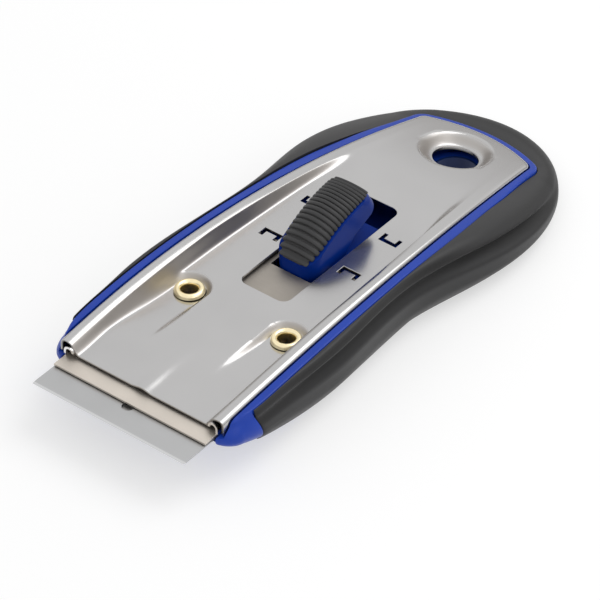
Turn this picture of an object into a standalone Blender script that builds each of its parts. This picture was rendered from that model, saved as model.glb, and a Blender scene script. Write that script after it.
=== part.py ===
"""Glass scraper: a single-edge blade on a sliding carriage under a pressed steel cover.

Metres, +Z up, blade towards -Y. Every piece is drawn from the datum of the cover plate: x = 0 on
its middle line, y = 0 at its front edge, z = 0 on the flat floor of its channel. The datum empty
then sets the tool down with its flat underside on the ground and the origin under its middle.
"""
import math

import bmesh
import bpy

# Blade, a standard single-edge one, and how it is held
BLADE_WIDTH = 0.0390
BLADE_DEPTH = 0.0190
BLADE_THICKNESS = 0.0003
BLADE_BEVEL = 0.0012
BLADE_EDGE_THICKNESS = 0.00005
BLADE_REACH = 0.0108
BLADE_HOLE_RADIUS = 0.0013
BLADE_HOLE_SETBACK = 0.0063
SPINE_DEPTH = 0.0060
SPINE_SHEET = 0.0002
SPINE_CLEARANCE = 0.0001

# Clearances between pieces
SEAT_GAP = 0.00025
LIP_GAP = 0.0002
RUN_CLEARANCE = 0.00045
SKIRT_CLEARANCE = 0.0001
SLIDE_CLEARANCE = 0.0004
GRIP_GAP = 0.0002

# Cover plate: outline, arch, channel and pressed details
PLATE_LENGTH = 0.1140
PLATE_SHEET = 0.0008
PLATE_WIDEST_Y = 0.0120
PLATE_SIDE_RADIUS = 0.704
PLATE_REAR_RADIUS = 0.0252
PLATE_CORNER = 0.0025
EDGE_ROLL = 0.0013
EDGE_DROP = 0.0010
SKIRT_DEPTH = 0.0032
ARCH_HEIGHT = 0.0040
ARCH_CREST_Y = 0.0370
ARCH_RADIUS = 0.310
BEAD_WIDTH = 0.00395
WALL_RUN = 0.0016
CHANNEL_REAR_HALF = 0.0119
CHANNEL_TAPER_START = 0.0420
CHANNEL_TAPER_LENGTH = 0.0420
CHANNEL_BLEND = 0.0005
SLOT_FRONT = 0.0375
SLOT_LENGTH = 0.0384
SLOT_HALF = 0.0061
SLOT_CORNER = 0.0020
SLIT_WIDTH = 0.0007
SLIT_INNER = 0.0079
SLIT_OUTER = 0.0125
SLIT_ARM = 0.0022
SLIT_FRONT_Y = 0.0540
SLIT_SPACING = 0.0122
RIB_HALF = 0.0017
RIB_HEIGHT = 0.0008
RIB_LENGTH = 0.0150
POCKET_HALF = 0.0046
POCKET_DEPTH = 0.0012
POCKET_WALL = 0.0014
POCKET_TIP_Y = 0.0130
HANG_SETBACK = 0.0110
HANG_RADIUS = 0.0050
DISH_RADIUS = 0.0083
DISH_DEPTH = 0.0024
DISH_FLAT = 0.0004

# Eyelets
EYELET_EDGE = 0.00825
EYELET_Y = 0.0298
EYELET_RING_RADIUS = 0.0035
EYELET_RING_HEIGHT = 0.0010
EYELET_BORE = 0.00175
EYELET_WALL = 0.00035
EYELET_LENGTH = 0.0055
EYELET_FIT = 0.00025

# Tray
RIM_GAP = 0.0006
RIM_WIDTH = 0.0020
RIM_HEIGHT = 0.0022
TRAY_INSET = 0.0016
TRAY_DRAFT = 0.0008
TRAY_FLOOR = 0.0024
TRAY_DEPTH = 0.0125
NOSE_FRONT = -0.0003
NOSE_REAR = 0.0090
NOSE_CORNER = 0.0036
NOSE_TUCK = 0.0006
NOSE_STEP = 0.00005
CHIN_LENGTH = 0.0340
CHIN_RISE = 0.0070
CHIN_POWER = 1.8
CHIN_WALL = 0.0030
CHIN_CLEARANCE = 0.0005
BOSS_WALL = 0.00125
TUBE_WALL = 0.0020

# Grip
GRIP_FRONT = 0.0093
GRIP_FRONT_STEP = 0.0006
GRIP_BELLY_Y = 0.0300
GRIP_BELLY_HALF = 0.0250
GRIP_WAIST_Y = 0.0550
GRIP_WAIST_HALF = 0.0234
GRIP_PALM_Y = 0.0880
GRIP_PALM_HALF = 0.0282
GRIP_REAR_MARGIN = 0.0093
GRIP_TOP_STEP = 0.0003
GRIP_LIFT = 0.0001
GRIP_TUCK = 0.0036
GRIP_FOOT = 0.0003
GROOVE_FADE_START = 0.0940
GROOVE_FADE_LENGTH = 0.0180

# Blade carrier, jaw and rivets
CARRIER_SHEET = 0.0005
LIP_SETBACK = 0.0065
LIP_DEPTH = 0.0053
JOGGLE_RUN = 0.0009
HEAD_REAR = 0.0040
SHOULDER_RUN = 0.0006
WAIST_CLEARANCE = 0.0021
CARRIER_TAIL_HALF = 0.0125
CARRIER_TAIL_LENGTH = 0.0092
RAIL_REAR = 0.0105
RAIL_RADIUS = 0.00065
RAIL_SHEET = 0.00040
RAIL_HEIGHT = 0.0016
RAIL_FOOT = 0.0018
JAW_HALF = 0.0160
JAW_SETBACK = 0.0007
JAW_REAR = 0.0085
JAW_TAIL_LENGTH = 0.0055
RIVET_EDGE = 0.0024
RIVET_RADIUS = 0.0009
RIVET_COLLAR_RADIUS = 0.0016
RIVET_HEAD_HEIGHT = 0.0004
RIVET_FIT = 0.0002

# Thumb slider and its ribbed pad
SLIDER_HALF = 0.0048
SLIDER_SETBACK = 0.0101
NECK_LENGTH = 0.0118
NECK_CLEARANCE = 0.0006
SLIDER_FRONT_HEIGHT = 0.0023
DECK_LENGTH = 0.0198
DECK_ANGLE = math.radians(20.0)
SLIDER_TAIL = 0.0020
SLIDER_TAIL_THICKNESS = 0.0048
SLIDER_TAIL_NOSE = 0.3
SLIDER_TAIL_UNDERCUT = 0.0008
SLIDER_CORNER = 0.0017
SLIDER_EDGE = 0.0002
FLANGE_HALF = 0.0122
FLANGE_LENGTH = 0.0154
FLANGE_THICKNESS = 0.0016
NECK_FOOT = 0.0004
FOOT_LENGTH = 0.0018
FOOT_THICKNESS = 0.0009
PAD_HALF = 0.0043
PAD_HEIGHT = 0.0040
PAD_INSET = 0.0007
PAD_RIBS = 16
PAD_GROOVE_FRONT = 0.00055
PAD_GROOVE_REAR = 0.00025
PAD_BULGE = 2.6
PAD_CREST_SHARE = 0.52
PAD_CROWN_POWER = 0.75
PAD_END_SHARE = 0.16
PAD_END_HALF = 0.0037

# The tool lies on its underside, and the origin is under this distance behind the plate's front
ORIGIN_SETBACK = 0.0560

# Fineness of the faceted shapes
SIDE_STEPS = 20
FAN_STEPS = 4
REAR_STEPS = 6
ROUND_STEPS = 24
FLOOR_COLUMNS = 7
WALL_COLUMNS = 4
ROLL_STEPS = 3
CORNER_STEPS = 3
EYELET_STEPS = 6
PAD_ROWS_PER_RIB = 4
PAD_ARC_STEPS = 8
SHARP_ANGLE = math.radians(40)
TINY = 1e-7

# Levels that follow from the stack of sheets
PLATE_HALF = BLADE_WIDTH / 2 + RUN_CLEARANCE + PLATE_SHEET + SKIRT_CLEARANCE
EYELET_X = PLATE_HALF - EYELET_EDGE
EYELET_HOLE = EYELET_BORE + EYELET_WALL + EYELET_FIT
CARRIER_HALF = BLADE_WIDTH / 2
CARRIER_WAIST_HALF = EYELET_X - EYELET_HOLE - BOSS_WALL - WAIST_CLEARANCE
RIVET_X = CARRIER_WAIST_HALF - RIVET_EDGE
JAW_TAIL_HALF = RIVET_X + RIVET_EDGE
CARRIER_TOP = -PLATE_SHEET - SLIDE_CLEARANCE
CARRIER_BOTTOM = CARRIER_TOP - CARRIER_SHEET
SPINE_TOP = CARRIER_BOTTOM - SEAT_GAP
BLADE_TOP = SPINE_TOP - SPINE_SHEET - SPINE_CLEARANCE
BLADE_BOTTOM = BLADE_TOP - BLADE_THICKNESS
SPINE_BOTTOM = BLADE_BOTTOM - SPINE_CLEARANCE - SPINE_SHEET
LIP_BOTTOM = BLADE_TOP + LIP_GAP
JAW_LIP_TOP = BLADE_BOTTOM - LIP_GAP
JAW_TOP = SPINE_BOTTOM - SEAT_GAP
JAW_BOTTOM = JAW_TOP - CARRIER_SHEET
RIVET_BOTTOM = JAW_BOTTOM - RIVET_FIT - RIVET_HEAD_HEIGHT
CHIN_TOP = RIVET_BOTTOM - CHIN_CLEARANCE
POCKET_UNDERSIDE = -POCKET_DEPTH - PLATE_SHEET
FLOOR_TOP = TRAY_FLOOR - TRAY_DEPTH
HINGE_Z = CARRIER_BOTTOM - SEAT_GAP - FOOT_THICKNESS / 2

# Stations along the tool that follow from the sizes above
HANG_Y = PLATE_LENGTH - HANG_SETBACK
RIM_OFFSET = RIM_GAP + RIM_WIDTH
CAVITY_OFFSET = BLADE_WIDTH / 2 + RUN_CLEARANCE - PLATE_HALF
SLIDER_FRONT = SLOT_FRONT + SLIDER_SETBACK
HINGE_Y = SLIDER_FRONT - FOOT_LENGTH / 2
NECK_REAR = SLIDER_FRONT + NECK_LENGTH
TAIL_REAR = SLIT_FRONT_Y - SLIT_WIDTH / 2
FLANGE_FRONT = TAIL_REAR + SLIDE_CLEARANCE
BLADE_REAR = BLADE_DEPTH - BLADE_REACH
SPINE_FRONT = BLADE_REAR - SPINE_DEPTH
LIP_FRONT = LIP_SETBACK - BLADE_REACH
RIVET_Y = JAW_REAR + JAW_TAIL_LENGTH / 2


def clear_scene():
    """Empty the file of the objects it starts with."""
    for item in list(bpy.data.objects):
        bpy.data.objects.remove(item, do_unlink=True)


def make_collection(name):
    """New collection under the scene."""
    collection = bpy.data.collections.new(name)
    bpy.context.scene.collection.children.link(collection)
    return collection


def make_material(name, colour, metallic, roughness):
    """Plain Principled material."""
    material = bpy.data.materials.new(name)
    material.use_nodes = True
    shader = material.node_tree.nodes["Principled BSDF"]
    shader.inputs["Base Color"].default_value = (*colour, 1.0)
    shader.inputs["Metallic"].default_value = metallic
    shader.inputs["Roughness"].default_value = roughness
    return material


def add_empty(name, location, collection, parent):
    """Empty that carries pieces, set on the axis they move about."""
    empty = bpy.data.objects.new(name, None)
    empty.location = location
    empty.parent = parent
    collection.objects.link(empty)
    return empty


def add_object(name, shape, collection, parent):
    """Turn a bmesh drawn from the datum into a named object with its normals facing out."""
    bmesh.ops.recalc_face_normals(shape, faces=shape.faces)
    mesh = bpy.data.meshes.new(name)
    shape.to_mesh(mesh)
    shape.free()
    item = bpy.data.objects.new(name, mesh)
    collection.objects.link(item)
    item.parent = parent
    return item


def hang_on(item, carrier):
    """Hang a piece on a moving empty, and leave it where it was drawn."""
    item.parent = carrier
    while carrier.parent:
        item.matrix_parent_inverse = item.matrix_parent_inverse @ carrier.matrix_basis.inverted()
        carrier = carrier.parent


def add_cutter(name, shape, build):
    """Helper solid for a Boolean, kept out of the renders."""
    item = add_object(name, shape, build["cutters"], build["datum"])
    item.hide_render = True
    item.display_type = "WIRE"
    return item


def add_part(name, shape, material, build, carrier="datum"):
    """Visible piece of the tool, carried by one of the empties."""
    item = add_object(name, shape, build["parts"], build["datum"])
    item.data.materials.append(material)
    hang_on(item, build[carrier])
    return item


def combine(item, other, operation):
    """Exact Boolean of a piece with a helper solid."""
    modifier = item.modifiers.new(operation.title(), "BOOLEAN")
    modifier.operation = operation
    modifier.solver = "EXACT"
    modifier.object = other


def mark_sharp(shape, lowest):
    """Give the sharp edges above a level the weight that the bevel rounds."""
    shape.normal_update()
    weight = shape.edges.layers.float.new("bevel_weight_edge")
    for edge in shape.edges:
        above = min(vertex.co.z for vertex in edge.verts) > lowest
        if above and edge.calc_face_angle() > SHARP_ANGLE:
            edge[weight] = 1.0


def bevel(item, width, segments):
    """Round the marked edges of a piece."""
    modifier = item.modifiers.new("Bevel", "BEVEL")
    modifier.width = width
    modifier.segments = segments
    modifier.limit_method = "WEIGHT"


def smooth_step(value):
    """Ease from 0 to 1."""
    value = min(max(value, 0.0), 1.0)
    return value * value * (3 - 2 * value)


def arch(y):
    """Height of the cover plate's arched shoulders over the channel floor."""
    return ARCH_HEIGHT - (y - ARCH_CREST_Y) ** 2 / (2 * ARCH_RADIUS)


def rim_height(y):
    """Top of the tray's rim, level with the plate's rolled edge."""
    return arch(y) - EDGE_DROP


def underside(y):
    """Flat underside that sweeps up to the chin under the blade."""
    lift = max(0.0, 1 - y / CHIN_LENGTH) ** CHIN_POWER
    return CHIN_RISE * lift - TRAY_DEPTH


def plate_half_width(y):
    """Half width of the cover plate: each side is one long arc."""
    return PLATE_HALF - (y - PLATE_WIDEST_Y) ** 2 / (2 * PLATE_SIDE_RADIUS)


def core_rear(x):
    """Rear edge of the plate drawn in by its corner radius."""
    return PLATE_LENGTH - PLATE_CORNER - x * x / (2 * PLATE_REAR_RADIUS)


def core_corner():
    """Corner of the plate's outline drawn in by its corner radius."""
    y = core_rear(0.0)
    x = plate_half_width(y) - PLATE_CORNER
    for _ in range(20):
        x = plate_half_width(y) - PLATE_CORNER
        y = core_rear(x)
    return x, y


def rear_normal(x):
    """Angle of the outward normal on the rear edge."""
    return math.atan2(1.0, x / PLATE_REAR_RADIUS)


def corner_angles():
    """Directions that fan out round a rear corner, from straight sideways to the rear edge's."""
    last = rear_normal(core_corner()[0])
    return [last * step / FAN_STEPS for step in range(FAN_STEPS + 1)]


def half_outline(offset, front):
    """Right half of the plate's outline, widened by offset, as (x, y, normal x, normal y)."""
    corner_x, corner_y = core_corner()
    reach = PLATE_CORNER + offset
    points = []
    for step in range(SIDE_STEPS):
        y = front + (corner_y - front) * step / SIDE_STEPS
        points.append((plate_half_width(y) + offset, y, 1.0, 0.0))
    turns = [(corner_x, corner_y, angle) for angle in corner_angles()]
    for step in range(1, REAR_STEPS + 1):
        x = corner_x * (1 - step / REAR_STEPS)
        turns.append((x, core_rear(x), rear_normal(x)))
    for x, y, angle in turns:
        across, along = math.cos(angle), math.sin(angle)
        points.append((x + reach * across, y + reach * along, across, along))
    return points


def plan(points):
    """Drop the normals of an outline."""
    return [(point[0], point[1]) for point in points]


def level(z):
    """Constant height, for solids whose faces are flat."""
    return lambda y: z


def strip_solid(shape, lower, upper, low, high):
    """Closed solid between two mirrored half outlines; its floor and roof bend along y only."""
    rings = []
    for outline, height in ((lower, low), (upper, high)):
        right = [shape.verts.new((x, y, height(y))) for x, y in outline]
        left = []
        for vertex, (x, y) in zip(right, outline):
            left.append(shape.verts.new((-x, y, height(y))) if abs(x) > TINY else vertex)
        for i in range(len(outline) - 1):
            corners = (right[i], right[i + 1], left[i + 1], left[i])
            shape.faces.new(list(dict.fromkeys(corners)))
        rings.append((right, left))
    (low_right, low_left), (high_right, high_left) = rings
    for bottom, top in ((low_right, high_right), (low_left, high_left)):
        for i in range(len(bottom) - 1):
            shape.faces.new((bottom[i], bottom[i + 1], top[i + 1], top[i]))
    shape.faces.new((low_right[0], low_left[0], high_left[0], high_right[0]))
    if low_right[-1] is not low_left[-1]:
        shape.faces.new((low_right[-1], low_left[-1], high_left[-1], high_right[-1]))


def prism(shape, outline, low, high):
    """Upright prism over a closed outline."""
    rings = []
    for z in (low, high):
        rings.append([shape.verts.new((x, y, z)) for x, y in outline])
        shape.faces.new(rings[-1])
    bridge(shape, rings[0], rings[1])


def bar(shape, profile, left, right):
    """Solid with one (y, z) profile from side to side."""
    rings = []
    for x in (left, right):
        rings.append([shape.verts.new((x, y, z)) for y, z in profile])
        shape.faces.new(rings[-1])
    bridge(shape, rings[0], rings[1])


def rail(shape, profile, front, rear):
    """Solid with one (x, z) profile from front to rear."""
    rings = []
    for y in (front, rear):
        rings.append([shape.verts.new((x, y, z)) for x, z in profile])
        shape.faces.new(rings[-1])
    bridge(shape, rings[0], rings[1])


def bridge(shape, first, second):
    """Wall of quads between two rings of equal length."""
    count = len(first)
    for i in range(count):
        after = (i + 1) % count
        shape.faces.new((first[i], first[after], second[after], second[i]))


def box(shape, x, y, z):
    """Box given by its (low, high) pairs."""
    corners = ((x[0], y[0]), (x[1], y[0]), (x[1], y[1]), (x[0], y[1]))
    prism(shape, corners, z[0], z[1])


def circle(x, y, radius, steps):
    """Closed round outline."""
    turns = [2 * math.pi * step / steps for step in range(steps)]
    return [(x + radius * math.cos(turn), y + radius * math.sin(turn)) for turn in turns]


def arc(x, y, radius, start, end, steps):
    """Open arc between two angles, ends included."""
    turns = [start + (end - start) * step / steps for step in range(steps + 1)]
    return [(x + radius * math.cos(turn), y + radius * math.sin(turn)) for turn in turns]


def rounded_rectangle(half, front, rear, radius, steps):
    """Closed outline with four round corners."""
    quarter = math.pi / 2
    outline = arc(half - radius, rear - radius, radius, 0, quarter, steps)
    outline += arc(radius - half, rear - radius, radius, quarter, 2 * quarter, steps)
    outline += arc(radius - half, front + radius, radius, 2 * quarter, 3 * quarter, steps)
    outline += arc(half - radius, front + radius, radius, 3 * quarter, 4 * quarter, steps)
    return outline


def turned(shape, profile, x, y, steps):
    """Solid of revolution about an upright axis from a closed (radius, z) profile."""
    rings = []
    for step in range(steps):
        turn = 2 * math.pi * step / steps
        across, along = math.cos(turn), math.sin(turn)
        rings.append([shape.verts.new((x + r * across, y + r * along, z)) for r, z in profile])
    for i in range(steps):
        bridge(shape, rings[i], rings[(i + 1) % steps])


def channel_half_width(y):
    """Middle of the channel wall: parallel along the beads, then drawn in behind the slot."""
    front = PLATE_HALF - BEAD_WIDTH
    return front + (CHANNEL_REAR_HALF - front) * smooth_step((y - CHANNEL_TAPER_START) / CHANNEL_TAPER_LENGTH)


def channel_wall(x, y):
    """0 on the channel floor, 1 on the shoulder beside it."""
    foot = channel_half_width(y) - WALL_RUN / 2
    return smooth_step((abs(x) - foot) / WALL_RUN)


def pocket_depth(x, y):
    """Drop of the pocket round an eyelet: deepest at its round rear wall, running out forwards."""
    centre_distance = math.hypot(abs(x) - EYELET_X, max(0.0, y - EYELET_Y))
    inside = smooth_step((POCKET_HALF - centre_distance) / POCKET_WALL + 0.5)
    run_out = smooth_step((y - POCKET_TIP_Y) / (EYELET_Y - POCKET_TIP_Y))
    return POCKET_DEPTH * inside * run_out


def rib_height(x, y):
    """Stiffening rib on the front edge."""
    across = max(0.0, 1 - (x / RIB_HALF) ** 2)
    return RIB_HEIGHT * across * smooth_step((RIB_LENGTH - y) / RIB_LENGTH)


def dish_depth(x, y):
    """Drop of the dished ring round the hang hole."""
    radius = math.hypot(x, y - HANG_Y)
    inner = HANG_RADIUS + DISH_FLAT
    return DISH_DEPTH * smooth_step((DISH_RADIUS - radius) / (DISH_RADIUS - inner))


def plate_height(x, y):
    """Upper surface of the cover plate inside its rolled edge."""
    crest = arch(y)
    floor = (crest - math.hypot(crest, CHANNEL_BLEND)) / 2
    wall = channel_wall(x, y)
    pressed = rib_height(x, y) - pocket_depth(x, y)
    return floor + (crest - floor) * wall + pressed * (1 - wall) - dish_depth(x, y)


def plate_rows():
    """Stations of the plate's grid along y, closer where the pressing has detail."""
    corner_y = core_corner()[1]
    pocket_rear = EYELET_Y + POCKET_HALF + POCKET_WALL
    stretches = ((0.0, POCKET_TIP_Y, 4), (POCKET_TIP_Y, EYELET_Y, 6), (EYELET_Y, pocket_rear, 6))
    stretches += ((pocket_rear, HANG_Y - DISH_RADIUS, 11), (HANG_Y - DISH_RADIUS, corner_y, 11))
    rows = [0.0]
    for start, end, count in stretches:
        rows += [start + (end - start) * step / count for step in range(1, count + 1)]
    return rows


def plate_columns(y):
    """Stations across the plate at y: channel floor, wall and shoulder of the right half."""
    wall = channel_half_width(y)
    edge = plate_half_width(y) - PLATE_CORNER
    foot = wall - WALL_RUN / 2
    columns = [foot * step / FLOOR_COLUMNS for step in range(FLOOR_COLUMNS + 1)]
    columns += [foot + WALL_RUN * step / WALL_COLUMNS for step in range(1, WALL_COLUMNS + 1)]
    columns.append(edge)
    return [-x for x in reversed(columns[1:])] + columns


def plate_grid(shape):
    """Grid of the plate's upper surface, with its last rows bowed along the rear edge."""
    rows = plate_rows()
    bow_start = HANG_Y - DISH_RADIUS
    grid = []
    for base in rows:
        bow = max(0.0, (base - bow_start) / (rows[-1] - bow_start))
        row = []
        for x in plate_columns(base):
            y = base + bow * bow * (core_rear(x) - rows[-1])
            row.append(shape.verts.new((x, y, plate_height(x, y))))
        grid.append(row)
    for lower, upper in zip(grid, grid[1:]):
        for i in range(len(lower) - 1):
            shape.faces.new((lower[i], lower[i + 1], upper[i + 1], upper[i]))
    return grid


def plate_border(grid):
    """Grid vertices along the right, rear and left edge, each with its outward direction."""
    fan = corner_angles()
    border = [(row[-1], 0.0) for row in grid[:-1]]
    border += [(grid[-1][-1], angle) for angle in fan]
    border += [(vertex, rear_normal(vertex.co.x)) for vertex in reversed(grid[-1][1:-1])]
    border += [(grid[-1][0], math.pi - angle) for angle in reversed(fan)]
    border += [(row[0], math.pi) for row in reversed(grid[:-1])]
    return border


def plate_skirt(shape, border):
    """Rolled edge and skirt that run round the sides and rear of the plate."""
    flat = PLATE_CORNER - EDGE_ROLL
    loops = [(flat, 0.0)]
    for step in range(1, ROLL_STEPS + 1):
        turn = math.pi / 2 * step / ROLL_STEPS
        loops.append((flat + EDGE_ROLL * math.sin(turn), EDGE_ROLL * (1 - math.cos(turn))))
    loops.append((PLATE_CORNER, SKIRT_DEPTH))
    previous = [vertex for vertex, angle in border]
    for offset, drop in loops:
        ring = []
        for vertex, angle in border:
            x = vertex.co.x + offset * math.cos(angle)
            y = vertex.co.y + offset * math.sin(angle)
            ring.append(shape.verts.new((x, y, arch(y) - drop)))
        for i in range(len(border) - 1):
            corners = (previous[i], previous[i + 1], ring[i + 1], ring[i])
            shape.faces.new(list(dict.fromkeys(corners)))
        previous = ring


def slit_outline(side, bar_y, arm_direction):
    """U-shaped slit that frees a tongue of the plate."""
    near = bar_y - arm_direction * SLIT_WIDTH / 2
    web = bar_y + arm_direction * SLIT_WIDTH / 2
    tip = near + arm_direction * SLIT_ARM
    inner, outer = SLIT_INNER, SLIT_OUTER
    outline = [(inner, near), (outer, near), (outer, tip), (outer - SLIT_WIDTH, tip)]
    outline += [(outer - SLIT_WIDTH, web), (inner + SLIT_WIDTH, web), (inner + SLIT_WIDTH, tip), (inner, tip)]
    return [(side * x, y) for x, y in outline]


def cover_plate(build):
    """Pressed cover: arched shoulders, flat channel, beads, eyelet pockets and the dished hang hole."""
    shape = bmesh.new()
    plate_skirt(shape, plate_border(plate_grid(shape)))
    plate = add_part("cover_plate", shape, make_material("plate_steel", (0.62, 0.60, 0.58), 1.0, 0.3), build)
    if plate.data.polygons[0].normal.z < 0:
        plate.data.flip_normals()
    solidify = plate.modifiers.new("Sheet", "SOLIDIFY")
    solidify.thickness = PLATE_SHEET
    solidify.offset = -1.0
    cuts = bmesh.new()
    low, high = -TRAY_DEPTH, ARCH_HEIGHT
    slot = rounded_rectangle(SLOT_HALF, SLOT_FRONT, SLOT_FRONT + SLOT_LENGTH, SLOT_CORNER, 5)
    prism(cuts, slot, low, high)
    for side in (-1, 1):
        prism(cuts, slit_outline(side, SLIT_FRONT_Y, -1), low, high)
        prism(cuts, slit_outline(side, SLIT_FRONT_Y + SLIT_SPACING, 1), low, high)
        prism(cuts, circle(side * EYELET_X, EYELET_Y, EYELET_HOLE, ROUND_STEPS), low, high)
    prism(cuts, circle(0.0, HANG_Y, HANG_RADIUS, 2 * ROUND_STEPS), low, high)
    combine(plate, add_cutter("plate_cuts", cuts, build), "DIFFERENCE")


def eyelets(build):
    """Two brass eyelets that clamp the plate to the tray's bosses."""
    material = make_material("eyelet_brass", (0.78, 0.60, 0.30), 1.0, 0.25)
    seat = EYELET_FIT - POCKET_DEPTH
    barrel = EYELET_BORE + EYELET_WALL
    ring_middle = (EYELET_BORE + EYELET_RING_RADIUS) / 2
    ring_half = (EYELET_RING_RADIUS - EYELET_BORE) / 2
    profile = [(EYELET_BORE, seat - EYELET_LENGTH), (barrel, seat - EYELET_LENGTH), (barrel, seat)]
    for step in range(EYELET_STEPS + 1):
        turn = math.pi * step / EYELET_STEPS
        profile.append((ring_middle + ring_half * math.cos(turn), seat + EYELET_RING_HEIGHT * math.sin(turn)))
    for side, name in ((-1, "eyelet_left"), (1, "eyelet_right")):
        shape = bmesh.new()
        turned(shape, profile, side * EYELET_X, EYELET_Y, ROUND_STEPS)
        add_part(name, shape, material, build)


def nose_outline(offset):
    """Right half of the tray's nose, with a round front corner."""
    centre_y = NOSE_FRONT + NOSE_CORNER
    centre_x = plate_half_width(centre_y) + RIM_OFFSET - NOSE_CORNER
    points = arc(centre_x, centre_y, NOSE_CORNER + offset, -math.pi / 2, 0.0, 6)
    for step in range(1, 4):
        y = centre_y + (NOSE_REAR - centre_y) * step / 3
        points.append((plate_half_width(y) + RIM_OFFSET + offset, y))
    return points


def tray(build):
    """Moulded tray: rim round the plate, walls under the grip, nose, bosses and hang tube."""
    lowest = -TRAY_INSET - TRAY_DRAFT
    body_front = NOSE_FRONT + NOSE_CORNER
    shape = bmesh.new()
    wall_top = plan(half_outline(RIM_OFFSET - TRAY_INSET, body_front))
    wall_foot = plan(half_outline(RIM_OFFSET + lowest, body_front))
    strip_solid(shape, wall_foot, wall_top, underside, lambda y: rim_height(y) - RIM_HEIGHT / 2)
    body = add_part("tray", shape, make_material("tray_blue", (0.03, 0.07, 0.45), 0.0, 0.4), build)

    rim = bmesh.new()
    rim_outline = plan(half_outline(RIM_OFFSET, body_front))
    strip_solid(rim, rim_outline, rim_outline, lambda y: rim_height(y) - RIM_HEIGHT, rim_height)
    combine(body, add_cutter("tray_rim", rim, build), "UNION")
    nose = bmesh.new()
    strip_solid(
        nose, nose_outline(lowest - NOSE_TUCK), nose_outline(-NOSE_STEP),
        lambda y: underside(y) + NOSE_STEP, lambda y: rim_height(y) - NOSE_STEP,
    )
    combine(body, add_cutter("tray_nose", nose, build), "UNION")

    rebate = bmesh.new()
    ahead = -BLADE_REACH
    over = ARCH_HEIGHT + RIM_HEIGHT
    seat = plan(half_outline(RIM_GAP, ahead))
    strip_solid(rebate, seat, seat, lambda y: arch(y) - SKIRT_DEPTH - SEAT_GAP, level(over))
    combine(body, add_cutter("tray_rebate", rebate, build), "DIFFERENCE")
    cavity = bmesh.new()
    hollow = plan(half_outline(CAVITY_OFFSET, NOSE_FRONT + CHIN_WALL))
    strip_solid(cavity, hollow, hollow, lambda y: max(FLOOR_TOP, underside(y) + TRAY_FLOOR), level(over))
    combine(body, add_cutter("tray_cavity", cavity, build), "DIFFERENCE")
    mouth = bmesh.new()
    gap = CARRIER_HALF + RUN_CLEARANCE
    box(mouth, (-gap, gap), (ahead, NOSE_FRONT + 2 * CHIN_WALL), (CHIN_TOP, over))
    combine(body, add_cutter("tray_mouth", mouth, build), "DIFFERENCE")

    posts = bmesh.new()
    post_foot = FLOOR_TOP - TRAY_FLOOR / 2
    for side in (-1, 1):
        boss = circle(side * EYELET_X, EYELET_Y, EYELET_HOLE + BOSS_WALL, ROUND_STEPS)
        prism(posts, boss, post_foot, POCKET_UNDERSIDE - SEAT_GAP)
    tube_top = arch(HANG_Y) - DISH_DEPTH - PLATE_SHEET - HANG_RADIUS * (HANG_Y - ARCH_CREST_Y) / ARCH_RADIUS
    tube = circle(0.0, HANG_Y, HANG_RADIUS + TUBE_WALL, 2 * ROUND_STEPS)
    prism(posts, tube, post_foot, tube_top - TUBE_WALL)
    combine(body, add_cutter("tray_posts", posts, build), "UNION")

    bores = bmesh.new()
    for side in (-1, 1):
        prism(bores, circle(side * EYELET_X, EYELET_Y, EYELET_HOLE, ROUND_STEPS), FLOOR_TOP, over)
    prism(bores, circle(0.0, HANG_Y, HANG_RADIUS, 2 * ROUND_STEPS), -2 * TRAY_DEPTH, over)
    combine(body, add_cutter("tray_bores", bores, build), "DIFFERENCE")


def ease(start, end, share):
    """Cosine blend between two sizes."""
    return start + (end - start) * (1 - math.cos(math.pi * share)) / 2


def grip_side(y):
    """Half width of the grip ahead of the palm: nose, belly, waist, palm."""
    front_half = plate_half_width(GRIP_FRONT) + RIM_OFFSET + GRIP_FRONT_STEP
    stations = ((GRIP_FRONT, front_half), (GRIP_BELLY_Y, GRIP_BELLY_HALF))
    stations += ((GRIP_WAIST_Y, GRIP_WAIST_HALF), (GRIP_PALM_Y, GRIP_PALM_HALF))
    for (start, first), (end, second) in zip(stations, stations[1:]):
        if y <= end:
            return ease(first, second, (y - start) / (end - start))
    return GRIP_PALM_HALF


def grip_reach(x, y, across, along):
    """Distance from a point on the tray's rim outwards to the grip's widest line."""
    if y <= GRIP_PALM_Y:
        return grip_side(y) - x
    depth = PLATE_LENGTH + GRIP_REAR_MARGIN - GRIP_PALM_Y
    u, v = x / GRIP_PALM_HALF, (y - GRIP_PALM_Y) / depth
    p, q = across / GRIP_PALM_HALF, along / depth
    a, b, c = p * p + q * q, u * p + v * q, u * u + v * v - 1
    return (math.sqrt(b * b - a * c) - b) / a


# Upper face of the grip from its top edge to its widest line, as shares of (width, height)
GROOVED_FACE = ((0.35, 0.01), (0.6, 0.05), (0.73, 0.12), (0.74, 0.24), (0.82, 0.36), (0.95, 0.47), (1, 0.56))
ROUND_FACE = ((0.35, 0.03), (0.62, 0.1), (0.83, 0.22), (0.94, 0.34), (0.98, 0.42), (1, 0.5), (1, 0.56))
# Lower face from there to the foot, as shares of (tuck, height)
TUCKED_FACE = ((0.06, 0.66), (0.22, 0.75), (0.47, 0.84), (0.75, 0.93), (1, 1))


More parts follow.
